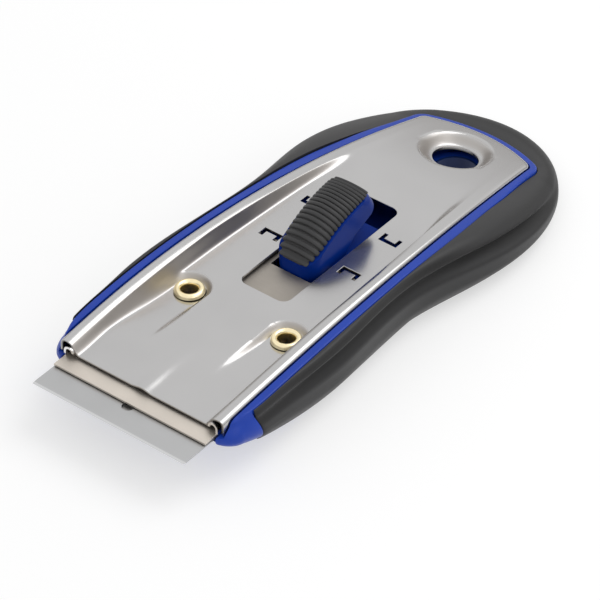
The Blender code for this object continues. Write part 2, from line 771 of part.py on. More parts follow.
def grip_section(x, y, across, along):
    """Closed (distance, z) section of the grip at one point of the tray's rim."""
    reach = grip_reach(x, y, across, along)
    rim = rim_height(y)
    top = rim - GRIP_TOP_STEP
    foot = underside(y) + GRIP_LIFT
    step = rim - RIM_HEIGHT - GRIP_GAP
    inner_foot = GRIP_GAP - TRAY_INSET - TRAY_DRAFT
    groove = 1 - smooth_step((y - GROOVE_FADE_START) / GROOVE_FADE_LENGTH)
    section = [(GRIP_GAP, top)]
    for (wide, high), (round_wide, round_high) in zip(GROOVED_FACE, ROUND_FACE):
        width = round_wide + (wide - round_wide) * groove
        height = round_high + (high - round_high) * groove
        section.append((GRIP_GAP + (reach - GRIP_GAP) * width, top + (foot - top) * height))
    tuck = min(GRIP_TUCK, reach - inner_foot - GRIP_FOOT)
    for inward, height in TUCKED_FACE:
        section.append((reach - tuck * inward, top + (foot - top) * height))
    section.append((inner_foot, foot))
    section.append((GRIP_GAP - TRAY_INSET, step))
    section.append((GRIP_GAP, step))
    return section


def grip(build):
    """Soft grip that wraps the tray's sides and rear, waisted, with a finger groove along each side."""
    right = half_outline(RIM_OFFSET, GRIP_FRONT)
    path = right + [(-x, y, -across, along) for x, y, across, along in reversed(right[:-1])]
    shape = bmesh.new()
    rings = []
    for x, y, across, along in path:
        section = grip_section(abs(x), y, abs(across), along)
        rings.append([shape.verts.new((x + across * d, y + along * d, z)) for d, z in section])
    for first, second in zip(rings, rings[1:]):
        bridge(shape, first, second)
    shape.faces.new(rings[0])
    shape.faces.new(rings[-1])
    add_part("grip", shape, make_material("grip_rubber", (0.06, 0.06, 0.065), 0.0, 0.7), build)


def joggled(y, front_level, rear_level, start):
    """Level of a sheet that steps from its front lip to its rear part."""
    share = min(max((y - start) / JOGGLE_RUN, 0.0), 1.0)
    return front_level + (rear_level - front_level) * share


def rail_profile(side):
    """Curled edge of the carrier: a foot on the sheet, an upright and a hook turned inwards."""
    outer = CARRIER_HALF - RUN_CLEARANCE / 2
    centre_x = outer - RAIL_RADIUS
    centre_z = CARRIER_BOTTOM + RAIL_HEIGHT
    profile = [(outer - RAIL_FOOT, CARRIER_BOTTOM), (outer, CARRIER_BOTTOM)]
    profile += arc(centre_x, centre_z, RAIL_RADIUS, 0.0, math.pi, 8)
    profile += arc(centre_x, centre_z, RAIL_RADIUS - RAIL_SHEET, math.pi, 0.0, 8)
    profile += [(outer - RAIL_SHEET, CARRIER_TOP), (outer - RAIL_FOOT, CARRIER_TOP)]
    return [(side * x, z) for x, z in profile]


def blade_carrier(build):
    """Sheet that carries the blade: wide head with a front lip, waist between the bosses, tail."""
    tail_front = TAIL_REAR - CARRIER_TAIL_LENGTH
    step_start = LIP_FRONT + LIP_DEPTH
    outline = [(CARRIER_HALF, LIP_FRONT), (CARRIER_HALF, step_start), (CARRIER_HALF, step_start + JOGGLE_RUN)]
    outline += [(CARRIER_HALF, HEAD_REAR), (CARRIER_WAIST_HALF, HEAD_REAR + SHOULDER_RUN)]
    outline += [(CARRIER_WAIST_HALF, tail_front - SHOULDER_RUN), (CARRIER_TAIL_HALF, tail_front)]
    outline += [(CARRIER_TAIL_HALF, TAIL_REAR)]
    shape = bmesh.new()
    strip_solid(
        shape, outline, outline,
        lambda y: joggled(y, LIP_BOTTOM, CARRIER_BOTTOM, step_start),
        lambda y: joggled(y, LIP_BOTTOM + CARRIER_SHEET, CARRIER_TOP, step_start),
    )
    material = make_material("carrier_steel", (0.56, 0.50, 0.43), 1.0, 0.4)
    carrier = add_part("blade_carrier", shape, material, build, "carriage")
    rails = bmesh.new()
    for side in (-1, 1):
        rail(rails, rail_profile(side), step_start + JOGGLE_RUN, RAIL_REAR)
    combine(carrier, add_cutter("carrier_rails", rails, build), "UNION")
    holes = bmesh.new()
    low, high = JAW_BOTTOM, 0.0
    notch = SLIDER_HALF + SLIDE_CLEARANCE
    box(holes, (-notch, notch), (SLIDER_FRONT - NECK_CLEARANCE, 2 * TAIL_REAR), (low, high))
    for side in (-1, 1):
        prism(holes, circle(side * RIVET_X, RIVET_Y, RIVET_RADIUS + RIVET_FIT, ROUND_STEPS), low, high)
    combine(carrier, add_cutter("carrier_holes", holes, build), "DIFFERENCE")


def blade(build):
    """Ground blade with its round hole and the folded spine crimped over its rear."""
    middle = (BLADE_TOP + BLADE_BOTTOM) / 2
    edge = BLADE_EDGE_THICKNESS / 2
    bevel_end = BLADE_BEVEL - BLADE_REACH
    profile = [(-BLADE_REACH, middle - edge), (bevel_end, BLADE_BOTTOM), (BLADE_REAR, BLADE_BOTTOM)]
    profile += [(BLADE_REAR, BLADE_TOP), (bevel_end, BLADE_TOP), (-BLADE_REACH, middle + edge)]
    shape = bmesh.new()
    bar(shape, profile, -BLADE_WIDTH / 2, BLADE_WIDTH / 2)
    material = make_material("blade_steel", (0.50, 0.51, 0.53), 1.0, 0.3)
    steel = add_part("blade", shape, material, build, "carriage")
    hole = bmesh.new()
    hole_y = BLADE_HOLE_SETBACK - BLADE_REACH
    prism(hole, circle(0.0, hole_y, BLADE_HOLE_RADIUS, ROUND_STEPS), SPINE_BOTTOM, 0.0)
    combine(steel, add_cutter("blade_hole", hole, build), "DIFFERENCE")

    rear = BLADE_REAR + SPINE_CLEARANCE
    upper, lower = BLADE_TOP + SPINE_CLEARANCE, BLADE_BOTTOM - SPINE_CLEARANCE
    back = rear + SPINE_SHEET
    fold = [(SPINE_FRONT, SPINE_BOTTOM), (back, SPINE_BOTTOM), (back, SPINE_TOP), (SPINE_FRONT, SPINE_TOP)]
    fold += [(SPINE_FRONT, upper), (rear, upper), (rear, lower), (SPINE_FRONT, lower)]
    shape = bmesh.new()
    bar(shape, fold, -BLADE_WIDTH / 2, BLADE_WIDTH / 2)
    material = make_material("spine_steel", (0.45, 0.46, 0.48), 1.0, 0.35)
    add_part("blade_spine", shape, material, build, "carriage")


def blade_jaw(build):
    """Lower sheet that holds the blade up against the carrier's lip, and the two rivets behind it."""
    front = LIP_FRONT + JAW_SETBACK
    step_start = LIP_FRONT + LIP_DEPTH
    outline = [(JAW_HALF, front), (JAW_HALF, step_start), (JAW_HALF, step_start + JOGGLE_RUN)]
    outline += [(JAW_HALF, JAW_REAR), (JAW_TAIL_HALF, JAW_REAR + SHOULDER_RUN)]
    outline += [(JAW_TAIL_HALF, JAW_REAR + JAW_TAIL_LENGTH)]
    shape = bmesh.new()
    strip_solid(
        shape, outline, outline,
        lambda y: joggled(y, JAW_LIP_TOP - CARRIER_SHEET, JAW_BOTTOM, step_start),
        lambda y: joggled(y, JAW_LIP_TOP, JAW_TOP, step_start),
    )
    material = make_material("jaw_steel", (0.52, 0.50, 0.47), 1.0, 0.4)
    jaw = add_part("blade_jaw", shape, material, build, "carriage")
    holes = bmesh.new()
    for side in (-1, 1):
        hole = circle(side * RIVET_X, RIVET_Y, RIVET_RADIUS + RIVET_FIT, ROUND_STEPS)
        prism(holes, hole, 2 * JAW_BOTTOM, CARRIER_TOP)
    combine(jaw, add_cutter("jaw_holes", holes, build), "DIFFERENCE")

    material = make_material("rivet_steel", (0.55, 0.55, 0.56), 1.0, 0.3)
    collar_top, collar_bottom = CARRIER_BOTTOM - RIVET_FIT, JAW_TOP + RIVET_FIT
    head_top = JAW_BOTTOM - RIVET_FIT
    profile = [(RIVET_RADIUS / 2, CARRIER_TOP), (RIVET_RADIUS / 2, RIVET_BOTTOM)]
    profile += [(RIVET_COLLAR_RADIUS, RIVET_BOTTOM), (RIVET_COLLAR_RADIUS, head_top)]
    profile += [(RIVET_RADIUS, head_top), (RIVET_RADIUS, collar_bottom)]
    profile += [(RIVET_COLLAR_RADIUS, collar_bottom), (RIVET_COLLAR_RADIUS, collar_top)]
    profile += [(RIVET_RADIUS, collar_top), (RIVET_RADIUS, CARRIER_TOP)]
    for side, name in ((-1, "jaw_rivet_left"), (1, "jaw_rivet_right")):
        shape = bmesh.new()
        turned(shape, profile, side * RIVET_X, RIVET_Y, ROUND_STEPS)
        add_part(name, shape, material, build, "carriage")


def deck_point(along, above):
    """Point (y, z) on the slider's sloping deck, or above it."""
    y = SLIDER_FRONT + along * math.cos(DECK_ANGLE) - above * math.sin(DECK_ANGLE)
    z = SLIDER_FRONT_HEIGHT + along * math.sin(DECK_ANGLE) + above * math.cos(DECK_ANGLE)
    return y, z


def thumb_slider(build):
    """Thumb slider: neck in the slot, sloping deck that overhangs to the rear, flange under the plate."""
    flange_bottom = CARRIER_TOP - FLANGE_THICKNESS
    neck_bottom = flange_bottom - NECK_FOOT
    deck_rear = deck_point(DECK_LENGTH, 0.0)
    tail_top = deck_point(DECK_LENGTH + SLIDER_TAIL, -SLIDER_TAIL_NOSE * SLIDER_TAIL_THICKNESS)
    tail_low = deck_point(DECK_LENGTH + SLIDER_TAIL - SLIDER_TAIL_UNDERCUT, -SLIDER_TAIL_THICKNESS)
    under = deck_point(NECK_LENGTH + SLIDER_TAIL, -SLIDER_TAIL_THICKNESS)
    rear = [deck_rear, tail_top, tail_low, under, (NECK_REAR, -PLATE_SHEET), (NECK_REAR, neck_bottom)]
    straight = SLIDER_HALF - SLIDER_CORNER
    corner = arc(straight, SLIDER_CORNER, SLIDER_CORNER, -math.pi / 2, 0.0, CORNER_STEPS)
    stations = [(-x, inset) for x, inset in reversed(corner)] + corner
    shape = bmesh.new()
    rings = []
    for x, inset in stations:
        front = [(SLIDER_FRONT + inset, neck_bottom), deck_point(inset / math.cos(DECK_ANGLE), 0.0)]
        rings.append([shape.verts.new((x, y, z)) for y, z in front + rear])
    for first, second in zip(rings, rings[1:]):
        bridge(shape, first, second)
    shape.faces.new(rings[0])
    shape.faces.new(rings[-1])
    mark_sharp(shape, 0.0)
    material = make_material("slider_blue", (0.02, 0.06, 0.38), 0.0, 0.35)
    slider = add_part("thumb_slider", shape, material, build, "thumb")
    bevel(slider, SLIDER_EDGE, 2)
    lower = bmesh.new()
    flange_y = (FLANGE_FRONT, FLANGE_FRONT + FLANGE_LENGTH)
    box(lower, (-FLANGE_HALF, FLANGE_HALF), flange_y, (flange_bottom, CARRIER_TOP))
    foot_y = (SLIDER_FRONT - FOOT_LENGTH, SLIDER_FRONT + FOOT_LENGTH)
    foot_half = SLIDER_HALF - SLIDER_CORNER
    foot_z = (HINGE_Z - FOOT_THICKNESS / 2, HINGE_Z + FOOT_THICKNESS / 2)
    box(lower, (-foot_half, foot_half), foot_y, foot_z)
    combine(slider, add_cutter("slider_flange_and_foot", lower, build), "UNION")


def pad_height(share):
    """Crown of the pad over the deck, with its transverse ribs."""
    from_crest = (share - PAD_CREST_SHARE) / PAD_CREST_SHARE
    crown = PAD_HEIGHT * max(0.0, 1 - from_crest * from_crest) ** PAD_CROWN_POWER
    groove = PAD_GROOVE_FRONT + (PAD_GROOVE_REAR - PAD_GROOVE_FRONT) * share
    ripple = 1 - abs(math.sin(math.pi * PAD_RIBS * share))
    return max(crown - groove * ripple, PAD_GROOVE_REAR)


def thumb_pad(build):
    """Soft ribbed pad on the slider's deck."""
    rows = PAD_RIBS * PAD_ROWS_PER_RIB
    length = DECK_LENGTH - 2 * PAD_INSET
    shape = bmesh.new()
    rings = []
    for row in range(rows + 1):
        share = row / rows
        from_end = min(share, 1 - share) / PAD_END_SHARE
        half = PAD_END_HALF + (PAD_HALF - PAD_END_HALF) * math.sqrt(1 - max(0.0, 1 - from_end) ** 2)
        ring = []
        for step in range(PAD_ARC_STEPS + 1):
            turn = math.pi * step / PAD_ARC_STEPS
            across = math.copysign(abs(math.cos(turn)) ** (2 / PAD_BULGE), math.cos(turn))
            up = abs(math.sin(turn)) ** (2 / PAD_BULGE) * pad_height(share)
            y, z = deck_point(PAD_INSET + length * share, SEAT_GAP + up)
            ring.append(shape.verts.new((half * across, y, z)))
        rings.append(ring)
    for first, second in zip(rings, rings[1:]):
        bridge(shape, first, second)
    shape.faces.new(rings[0])
    shape.faces.new(rings[-1])
    add_part("thumb_pad", shape, make_material("pad_rubber", (0.06, 0.06, 0.065), 0.0, 0.65), build, "thumb")


def main():
    """Build every piece of the scraper."""
    clear_scene()
    parts = make_collection("glass_scraper")
    build = {"parts": parts, "cutters": make_collection("cutters")}
    build["datum"] = add_empty("datum", (0.0, -ORIGIN_SETBACK, TRAY_DEPTH), parts, None)
    build["carriage"] = add_empty("carriage_slide", (0.0, LIP_FRONT, CARRIER_TOP), parts, build["datum"])
    hinge = (0.0, HINGE_Y - LIP_FRONT, HINGE_Z - CARRIER_TOP)
    build["thumb"] = add_empty("thumb_hinge", hinge, parts, build["carriage"])
    cover_plate(build)
    eyelets(build)
    tray(build)
    grip(build)
    blade_carrier(build)
    blade(build)
    blade_jaw(build)
    thumb_slider(build)
    thumb_pad(build)


main()
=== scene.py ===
"""Looks of a glass scraper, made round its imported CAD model.

Laid out as a Blender add-on and run as a script: each operator makes one piece or one group of like
pieces, the panel lists them, and main() calls them in order. Pieces are drawn from the datum of the
cover plate, with x = 0 on the middle line, y = 0 at the plate's front edge and z = 0 on the channel
floor, and their place in the frame is in their vertices. Metres, +Z up, blade towards -Y.
"""
import math

import bmesh
import bpy
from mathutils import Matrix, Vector


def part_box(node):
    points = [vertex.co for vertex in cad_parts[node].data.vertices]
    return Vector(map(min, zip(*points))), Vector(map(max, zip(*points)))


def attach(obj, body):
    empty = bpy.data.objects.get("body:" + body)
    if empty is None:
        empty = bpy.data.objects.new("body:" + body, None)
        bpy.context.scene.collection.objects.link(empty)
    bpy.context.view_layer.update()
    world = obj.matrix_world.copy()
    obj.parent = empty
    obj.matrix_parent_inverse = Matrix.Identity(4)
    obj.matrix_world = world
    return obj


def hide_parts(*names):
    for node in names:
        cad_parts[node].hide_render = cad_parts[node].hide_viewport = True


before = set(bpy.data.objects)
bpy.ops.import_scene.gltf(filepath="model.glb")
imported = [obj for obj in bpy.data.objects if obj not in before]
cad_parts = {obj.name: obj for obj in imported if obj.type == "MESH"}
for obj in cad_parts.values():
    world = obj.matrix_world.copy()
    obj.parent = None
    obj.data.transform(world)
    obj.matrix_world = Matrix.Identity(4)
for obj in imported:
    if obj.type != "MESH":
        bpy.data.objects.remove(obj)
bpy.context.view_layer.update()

bl_info = {
    "name": "Glass Scraper",
    "version": (1, 0, 0),
    "blender": (4, 5, 0),
    "location": "3D View > Sidebar > Scraper",
    "description": "Dresses the packed model of a glass scraper with its finished pieces and a studio",
    "category": "Object",
}

PLATE_LOW, PLATE_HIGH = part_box("cover_plate")
BLADE_LOW, BLADE_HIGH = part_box("blade")
GRIP_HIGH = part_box("grip")[1]
ARCH_HEIGHT = 0.0040
DATUM = Vector((0.0, PLATE_LOW.y, PLATE_HIGH.z - ARCH_HEIGHT))
TINY = 1e-7
MERGE = 1e-6
HAIR = 1e-5
QUARTER = math.pi / 2

# Cover plate: shape of the pressing
WIDEST_Y = 0.0120
SIDE_RADIUS = 0.704
REAR_RADIUS = 0.0252
PLATE_CORNER = 0.0025
PLATE_FRONT = -0.0003
FRONT_ROLL = 0.00015
FRONT_DIP = 0.0006
FRONT_DIP_LENGTH = 0.0100
FRONT_THINNING = 0.00025
PLATE_SPREAD = 0.0003
ROLL_WIDTH = 0.0015
ROLL_DROP = 0.0017
ROLL_SHARPNESS = 0.75
ROLL_REAR = 0.0010
ROLL_FADE_START = 0.0450
ROLL_FADE_LENGTH = 0.0450
SKIRT_DEPTH = 0.0032
BEAD_CURVE = 190.0
BEAD_FADE_START = 0.0500
BEAD_FADE_LENGTH = 0.0300
WALL_POWER = 3.0
FRONT_WALL_POWER = 1.0
FRONT_WALL_LENGTH = 0.0300
WALL_CROWDING = 0.6
WALL_LAG = 0.00055
WALL_FAN = 0.0030
WALL_FAN_POWER = 3.0
CHANNEL_NARROWING = 0.0037
CHANNEL_END_Y = 0.0840
CHANNEL_POWER = 2.2
CHANNEL_TURN = 0.0030
CHANNEL_TURN_START = 0.0680
CHANNEL_TURN_LENGTH = 0.0240
CHANNEL_BLEND = 0.0005
SLOT_CORNER = 0.0020
SLIT_WIDTH = 0.0009
SLIT_INNER = 0.0079
SLIT_OUTER = 0.0125
SLIT_ARM = 0.0024
SLIT_FRONT_Y = 0.0540
SLIT_SPACING = 0.0122
RIB_HALF = 0.0027
RIB_LENGTH = 0.0260
POCKET_HALF = 0.0041
POCKET_WALL = 0.0015
POCKET_TIP_Y = 0.0080
HANG_SETBACK = 0.0110
DISH_RADIUS = 0.0083
DISH_FLAT = 0.0004
CUT_CHAMFER = 0.00010
# Distance over which the sheet's slope is measured, and the slope from which it counts as drawn
PROBE = 0.0001
DRAWN_SLOPE = 0.25

# Eyelets
EYELET_X = 0.0126
EYELET_Y = 0.0298
EYELET_WALL = 0.00035
EYELET_LENGTH = 0.0055
EYELET_FIT = 0.00025

# Tray under the plate
EDGE_DROP = 0.0006
RIM_EDGE = 0.00045
SEAT_GAP = 0.00025
RUN_CLEARANCE = 0.00045
# Width of the rim along the side, as (y, share of its width)
RIM_SHARES = ((0.0, 0.35), (0.0140, 1.0), (0.0550, 1.0), (0.0780, 1.25), (0.0920, 1.1), (0.1060, 0.75))
RIM_WALL = 0.0005
TRAY_DRAFT = 0.0008
TRAY_FLOOR = 0.0024
NOSE_FRONT = -0.0003
NOSE_REAR = 0.0090
NOSE_EDGE = 0.0012
NOSE_TUCK = 0.0028
NOSE_SHARE = 0.42
NOSE_SWELL = 0.0016
CHIN_LENGTH = 0.0340
CHIN_RISE = 0.0070
CHIN_POWER = 1.8
CHIN_WALL = 0.0030
CHIN_TOP = -0.0047
BOSS_WALL = 0.00125
TUBE_WALL = 0.0020

# Grip
GRIP_GAP = 0.0002
GRIP_FRONT = 0.0093
GRIP_FRONT_STEP = 0.0016
GRIP_FRONT_EDGE = 0.0009
# How far the grip's top edge lies below the rim, as (y, step)
GRIP_TOP_STEPS = ((0.0500, 0.0), (0.0800, -0.0003), (0.1120, 0.0008))
GRIP_LIFT = 0.0001
GRIP_FOOT = 0.0003
GRIP_BELLY_Y = 0.0300
GRIP_WAIST_Y = 0.0550
GRIP_PALM_Y = 0.0880
# Roundness of the grip's upper face, as (y, power): sloping at the nose, square at the belly, round behind
GRIP_ROUNDNESS = ((0.0093, 1.3), (0.0260, 0.55), (0.0550, 0.83))
GRIP_WIDEST = 0.56
# Groove along the side: heights as shares from the grip's top edge down to its foot
GROOVE_DEPTH = 0.0022
GROOVE_WAIST_SHARE = 0.70
GROOVE_WAIST_REACH = 0.0022
GROOVE_PALM_REACH = 0.0060
GROOVE_MIDDLE = 0.26
GROOVE_HALF = 0.145
GRIP_SKIN = 0.00025
GROOVE_LIP = 0.47
GROOVE_FRONT_SHARE = 0.35
GROOVE_FRONT_LENGTH = 0.0200
GROOVE_FADE_START = 0.0900
GROOVE_FADE_LENGTH = 0.0240
# How pale the soft pieces are painted, from 0 to 1: an even dustiness, with painted shade and painted
# highlights on the grip
PLAIN_DUST = 0.45
PAD_DUST = 0.6
LEDGE_PAINTED_SHEEN = 0.9
LEDGE_SHARE = 0.07
# Face below the widest line, as shares of (tuck, height)
TUCKED_FACE = ((0.06, 0.66), (0.22, 0.75), (0.47, 0.84), (0.75, 0.93), (1, 1))
TUCK_LENGTH = 0.0200
# Joint between nose and grip
JOINT_LEAN = 0.0030
LEAN_REACH = 0.0085
LEAN_FOOT = -0.0080
LEAN_TOP = 0.0010

# Blade carriage
LIP_GAP = 0.0002
HOLE_SETBACK = 0.0063
TONGUE_RADIUS = 0.0019
TONGUE_THICKNESS = 0.0005
# Length over which the carrier's painted shade deepens behind its lip
SHADE_RAMP_LENGTH = 0.0100
# Width of the painted highlight along the blade's edge
EDGE_GLINT_WIDTH = 0.0006
BLADE_EDGE_SHARE = 0.25
HOOK_OUTER = 0.0198
HOOK_WIDTH = 0.0025
HOOK_TOP = 0.0008
HOOK_SHEET = 0.0005
HOOK_FRONT = -0.0008
HOOK_REAR = 0.0017

# Thumb slider and pad
SLIDER_FRONT = 0.0473
NECK_LENGTH = 0.0118
SLIDER_TAIL = 0.0010
SLIDER_TAIL_THICKNESS = 0.0048
SLIDER_TAIL_NOSE = 0.3
SLIDER_TAIL_UNDERCUT = -0.0006
SLIDER_EDGE = 0.0003
SLIDER_FRONT_ROUND = 0.0003
# Roundings behind the deck: deck end, tail nose, tail foot, neck top, plate level, neck foot
SLIDER_REAR_ROUNDS = (0.0007, 0.0010, 0.0008, 0.0015, 0.0005, 0.0)
NECK_BLEND = 0.0020
CARRIER_TOP = -0.0012
FLANGE_HALF = 0.0122
FLANGE_FRONT = 0.05405
FLANGE_LENGTH = 0.0154
FLANGE_THICKNESS = 0.0016
NECK_FOOT = 0.0004
FOOT_LENGTH = 0.0018
FOOT_THICKNESS = 0.0009
FOOT_MIDDLE = -0.0024
FLAT_SIDE = 0.9999
PAD_FRONT_INSET = 0.0002
PAD_REAR_INSET = -0.0004
PAD_BULGE = 1.75
PAD_CREST_SHARE = 0.52
PAD_CROWN_POWER = 0.75
PAD_FRONT_SHARE = 0.28
PAD_REAR_SHARE = 0.10
RIB_CROWDING = 0.3
RIB_FILL = 0.43
RIB_ROUNDNESS = 0.7

# Stage
WHITE = (1.0, 1.0, 1.0, 1.0)
SENSOR_WIDTH = 36.0
FLOOR_HALF = 3.0
FLOOR_PALE = (0.92, 0.92, 0.92, 1.0)
FLOOR_ROUGHNESS = 0.9
FLOOR_GLOW = 1.285
FLOOR_GLOW_SHARE = 0.42
HORIZON_RADIUS = 1.2
HORIZON_HEIGHT = 0.45
HORIZON_FADE = 0.7
KEY_SIZE = 0.58
KEY_PLACE = (0.22, 0.36, 0.66)
FILL_SIZE = 0.50
FILL_PLACE = (0.65, -0.10, 0.35)

# Fineness
CORNER_ROUNDS = 20
SIDE_STEPS = 96
FAN_STEPS = 14
REAR_STEPS = 30
FRONT_ROWS = 6
RIB_ROWS = 26
POCKET_ROWS = 38
POCKET_REAR_ROWS = 22
SLOT_ROWS = 104
DISH_ROWS = 44
FLOOR_COLUMNS = 36
WALL_COLUMNS = 20
SHOULDER_COLUMNS = 4
CREST_STEPS = 4
ROLL_STEPS = 9
ROUND_STEPS = 64
CORNER_STEPS = 8
RIM_EDGE_STEPS = 4
NOSE_STEPS = 15
GRIP_EDGE_STEPS = 6
GRIP_FACE_STEPS = 30
TUCK_STEPS = 4
DECK_STEPS = 12
BEND_STEPS = 5
SLIDER_STEPS = 18
PAD_STEPS = 24
PAD_RINGS = 64
RIB_STEPS = 10
SMOOTH_ANGLE = math.radians(35)
FLAT_ANGLE = math.radians(1)


def length(name, description, default):
    """Property for a size."""
    return bpy.props.FloatProperty(
        name=name, description=description, default=default, unit="LENGTH", precision=5
    )


def colour(name, description, default):
    """Property for a base colour."""
    return bpy.props.FloatVectorProperty(
        name=name, description=description, default=default, subtype="COLOR", size=3, min=0.0, max=1.0
    )


def angle(name, description, degrees):
    """Property for an angle."""
    return bpy.props.FloatProperty(
        name=name, description=description, default=math.radians(degrees), subtype="ANGLE"
    )


def strength(name, description, default):
    """Property for the strength of a light."""
    return bpy.props.FloatProperty(name=name, description=description, default=default, min=0.0)


class PlateSizes(bpy.types.PropertyGroup):
    """Sizes of the pressed cover plate."""
    reach: length("Length", "Length of the cover plate", PLATE_HIGH.y - PLATE_LOW.y)
    half: length("Half Width", "Half of the plate's greatest width", PLATE_HIGH.x + PLATE_SPREAD)
    sheet: length("Sheet", "Thickness of the pressed sheet", 0.0006)
    arch_crest: length("Arch Crest", "Distance of the arch's crest from the front edge", 0.0370)
    arch_radius: length("Arch Radius", "Radius of the arch along the tool", 0.310)
    bead: length("Bead Width", "Width of the bead along each side", 0.0051)
    wall_run: length("Wall Run", "Width of the hollowed wall between channel and bead", 0.0021)
    pocket_depth: length("Pocket Depth", "Depth of the pocket round each eyelet", 0.0014)
    rib_height: length("Rib Height", "Height of the front rib", 0.00045)
    dish_depth: length("Dish Depth", "Depth of the dish round the hang hole", 0.0024)
    hang_radius: length("Hang Hole Radius", "Radius of the hang hole", 0.0050)
    slot_front: length("Slot Front", "Distance of the slot from the front edge", 0.0375)
    slot_length: length("Slot Length", "Length of the slot", 0.0384)
    slot_half: length("Slot Half Width", "Half width of the slot", 0.0061)
    steel: colour("Steel", "Base colour of the pressed sheet", (0.495, 0.49, 0.488))


class EyeletSizes(bpy.types.PropertyGroup):
    """Sizes of the brass eyelets."""
    ring: length("Ring Radius", "Outer radius of the eyelet's ring", 0.0033)
    height: length("Ring Height", "Height of the rounded ring", 0.0010)
    bore: length("Bore", "Inner radius of the eyelet", 0.00175)
    brass: colour("Brass", "Base colour of the eyelets", (0.97, 0.81, 0.53))


class TraySizes(bpy.types.PropertyGroup):
    """Sizes of the moulded tray."""
    rim_gap: length("Rim Gap", "Gap between plate and rim", 0.0003)
    rim_width: length("Rim Width", "Width of the rim beside the beads", 0.0018)
    rim_rear: length("Rear Rim Width", "Width of the rim behind the plate", 0.0015)
    rim_height: length("Rim Height", "Height of the rim over the grip's step", 0.0022)
    nose_corner: length("Nose Corner", "Radius of the nose's front corners", 0.0036)
    blue: colour("Blue", "Base colour of the tray", (0.008, 0.050, 0.410))


class GripSizes(bpy.types.PropertyGroup):
    """Sizes of the soft grip."""
    belly_half: length("Belly Half Width", "Half width at the front swell", 0.0250)
    waist_half: length("Waist Half Width", "Half width at the waist", 0.0234)
    palm_half: length("Palm Half Width", "Half width at the palm", GRIP_HIGH.x)
    rear_margin: length("Rear Margin", "Grip behind the plate's rear edge", GRIP_HIGH.y - PLATE_HIGH.y)
    tuck: length("Tuck", "How far the lower face draws in", 0.0036)
    charcoal: colour("Charcoal", "Base colour of the grip", (0.0145, 0.0145, 0.0152))


class SliderSizes(bpy.types.PropertyGroup):
    """Sizes of the thumb slider and its pad."""
    half: length("Half Width", "Half width of the slider", 0.0051)
    front_height: length("Front Height", "Height of the deck's front edge", 0.0014)
    deck: length("Deck Length", "Length of the sloping deck", 0.0211)
    slope: angle("Deck Slope", "Slope of the deck", 21.2)
    bulge: length("Deck Bulge", "How far the deck bulges over a straight line", 0.0016)
    corner: length("Corner", "Radius of the front corners seen from above", 0.0036)
    rear_corner: length("Rear Corner", "Radius of the rear corners seen from above", 0.0030)
    pad_half: length("Pad Half Width", "Half width of the ribbed pad", 0.0048)
    pad_height: length("Pad Height", "Height of the pad's crown over the deck", 0.0028)
    pad_front_half: length("Pad Front Half Width", "Half width at the pad's front end", 0.0027)
    pad_rear_half: length("Pad Rear Half Width", "Half width at the pad's rear end", 0.0036)
    ribs: bpy.props.IntProperty(name="Ribs", description="Number of ribs on the pad", default=19, min=2)
    groove_front: length("Front Groove", "Depth of the grooves at the pad's front", 0.00055)
    groove_rear: length("Rear Groove", "Depth of the grooves at the pad's rear", 0.00028)
    blue: colour("Blue", "Base colour of the slider", (0.0015, 0.0240, 0.215))
    charcoal: colour("Charcoal", "Base colour of the pad", (0.030, 0.030, 0.031))


class CarriageFinish(bpy.types.PropertyGroup):
    """Finishes of the carriage that carries the blade."""
    edge: length("Edge", "Rounding of the sheets' edges", 0.00006)
    carrier: colour("Carrier", "Base colour of the carrier sheet", (0.63, 0.58, 0.52))
    blade: colour("Blade", "Base colour of the blade", (0.45, 0.452, 0.455))
    # The hooks belong to the carrier sheet; their brighter colour is a painted highlight.
    lit_hook: colour("Hooks", "Base colour of the rails' hooked ends", (0.82, 0.81, 0.80))
    hidden: colour("Hidden Steel", "Base colour of the spine, jaw and rivets", (0.45, 0.45, 0.45))


class StageSettings(bpy.types.PropertyGroup):
    """Camera and light of the studio."""
    azimuth: angle("Azimuth", "Camera's turn to the right of the blade's side", 38.471)
    elevation: angle("Elevation", "Camera's height over the floor", 39.465)
    distance: length("Distance", "Distance of the camera from its target", 0.900)
    lens: bpy.props.FloatProperty(name="Lens", description="Focal length in mm", default=267.25)
    target_x: length("Target X", "Point that the camera looks at, across", 0.007721)
    target_y: length("Target Y", "Point that the camera looks at, along", 0.040294)
    ambient: strength("Ambient", "Strength of the surrounding light", 0.62)
    key: strength("Key", "Power of the lamp behind the tool", 1.9)
    fill: strength("Fill", "Power of the lamp to the right", 0.5)
    dusk: colour("Dusk", "Tone that steep metal reflects", (0.33, 0.305, 0.285))


class ScraperSettings(bpy.types.PropertyGroup):
    """All settings of the scraper."""
    plate: bpy.props.PointerProperty(type=PlateSizes, name="Cover Plate")
    eyelet: bpy.props.PointerProperty(type=EyeletSizes, name="Eyelets")
    tray: bpy.props.PointerProperty(type=TraySizes, name="Tray")
    grip: bpy.props.PointerProperty(type=GripSizes, name="Grip")
    slider: bpy.props.PointerProperty(type=SliderSizes, name="Thumb Slider")
    carriage: bpy.props.PointerProperty(type=CarriageFinish, name="Carriage")
    stage: bpy.props.PointerProperty(type=StageSettings, name="Stage")


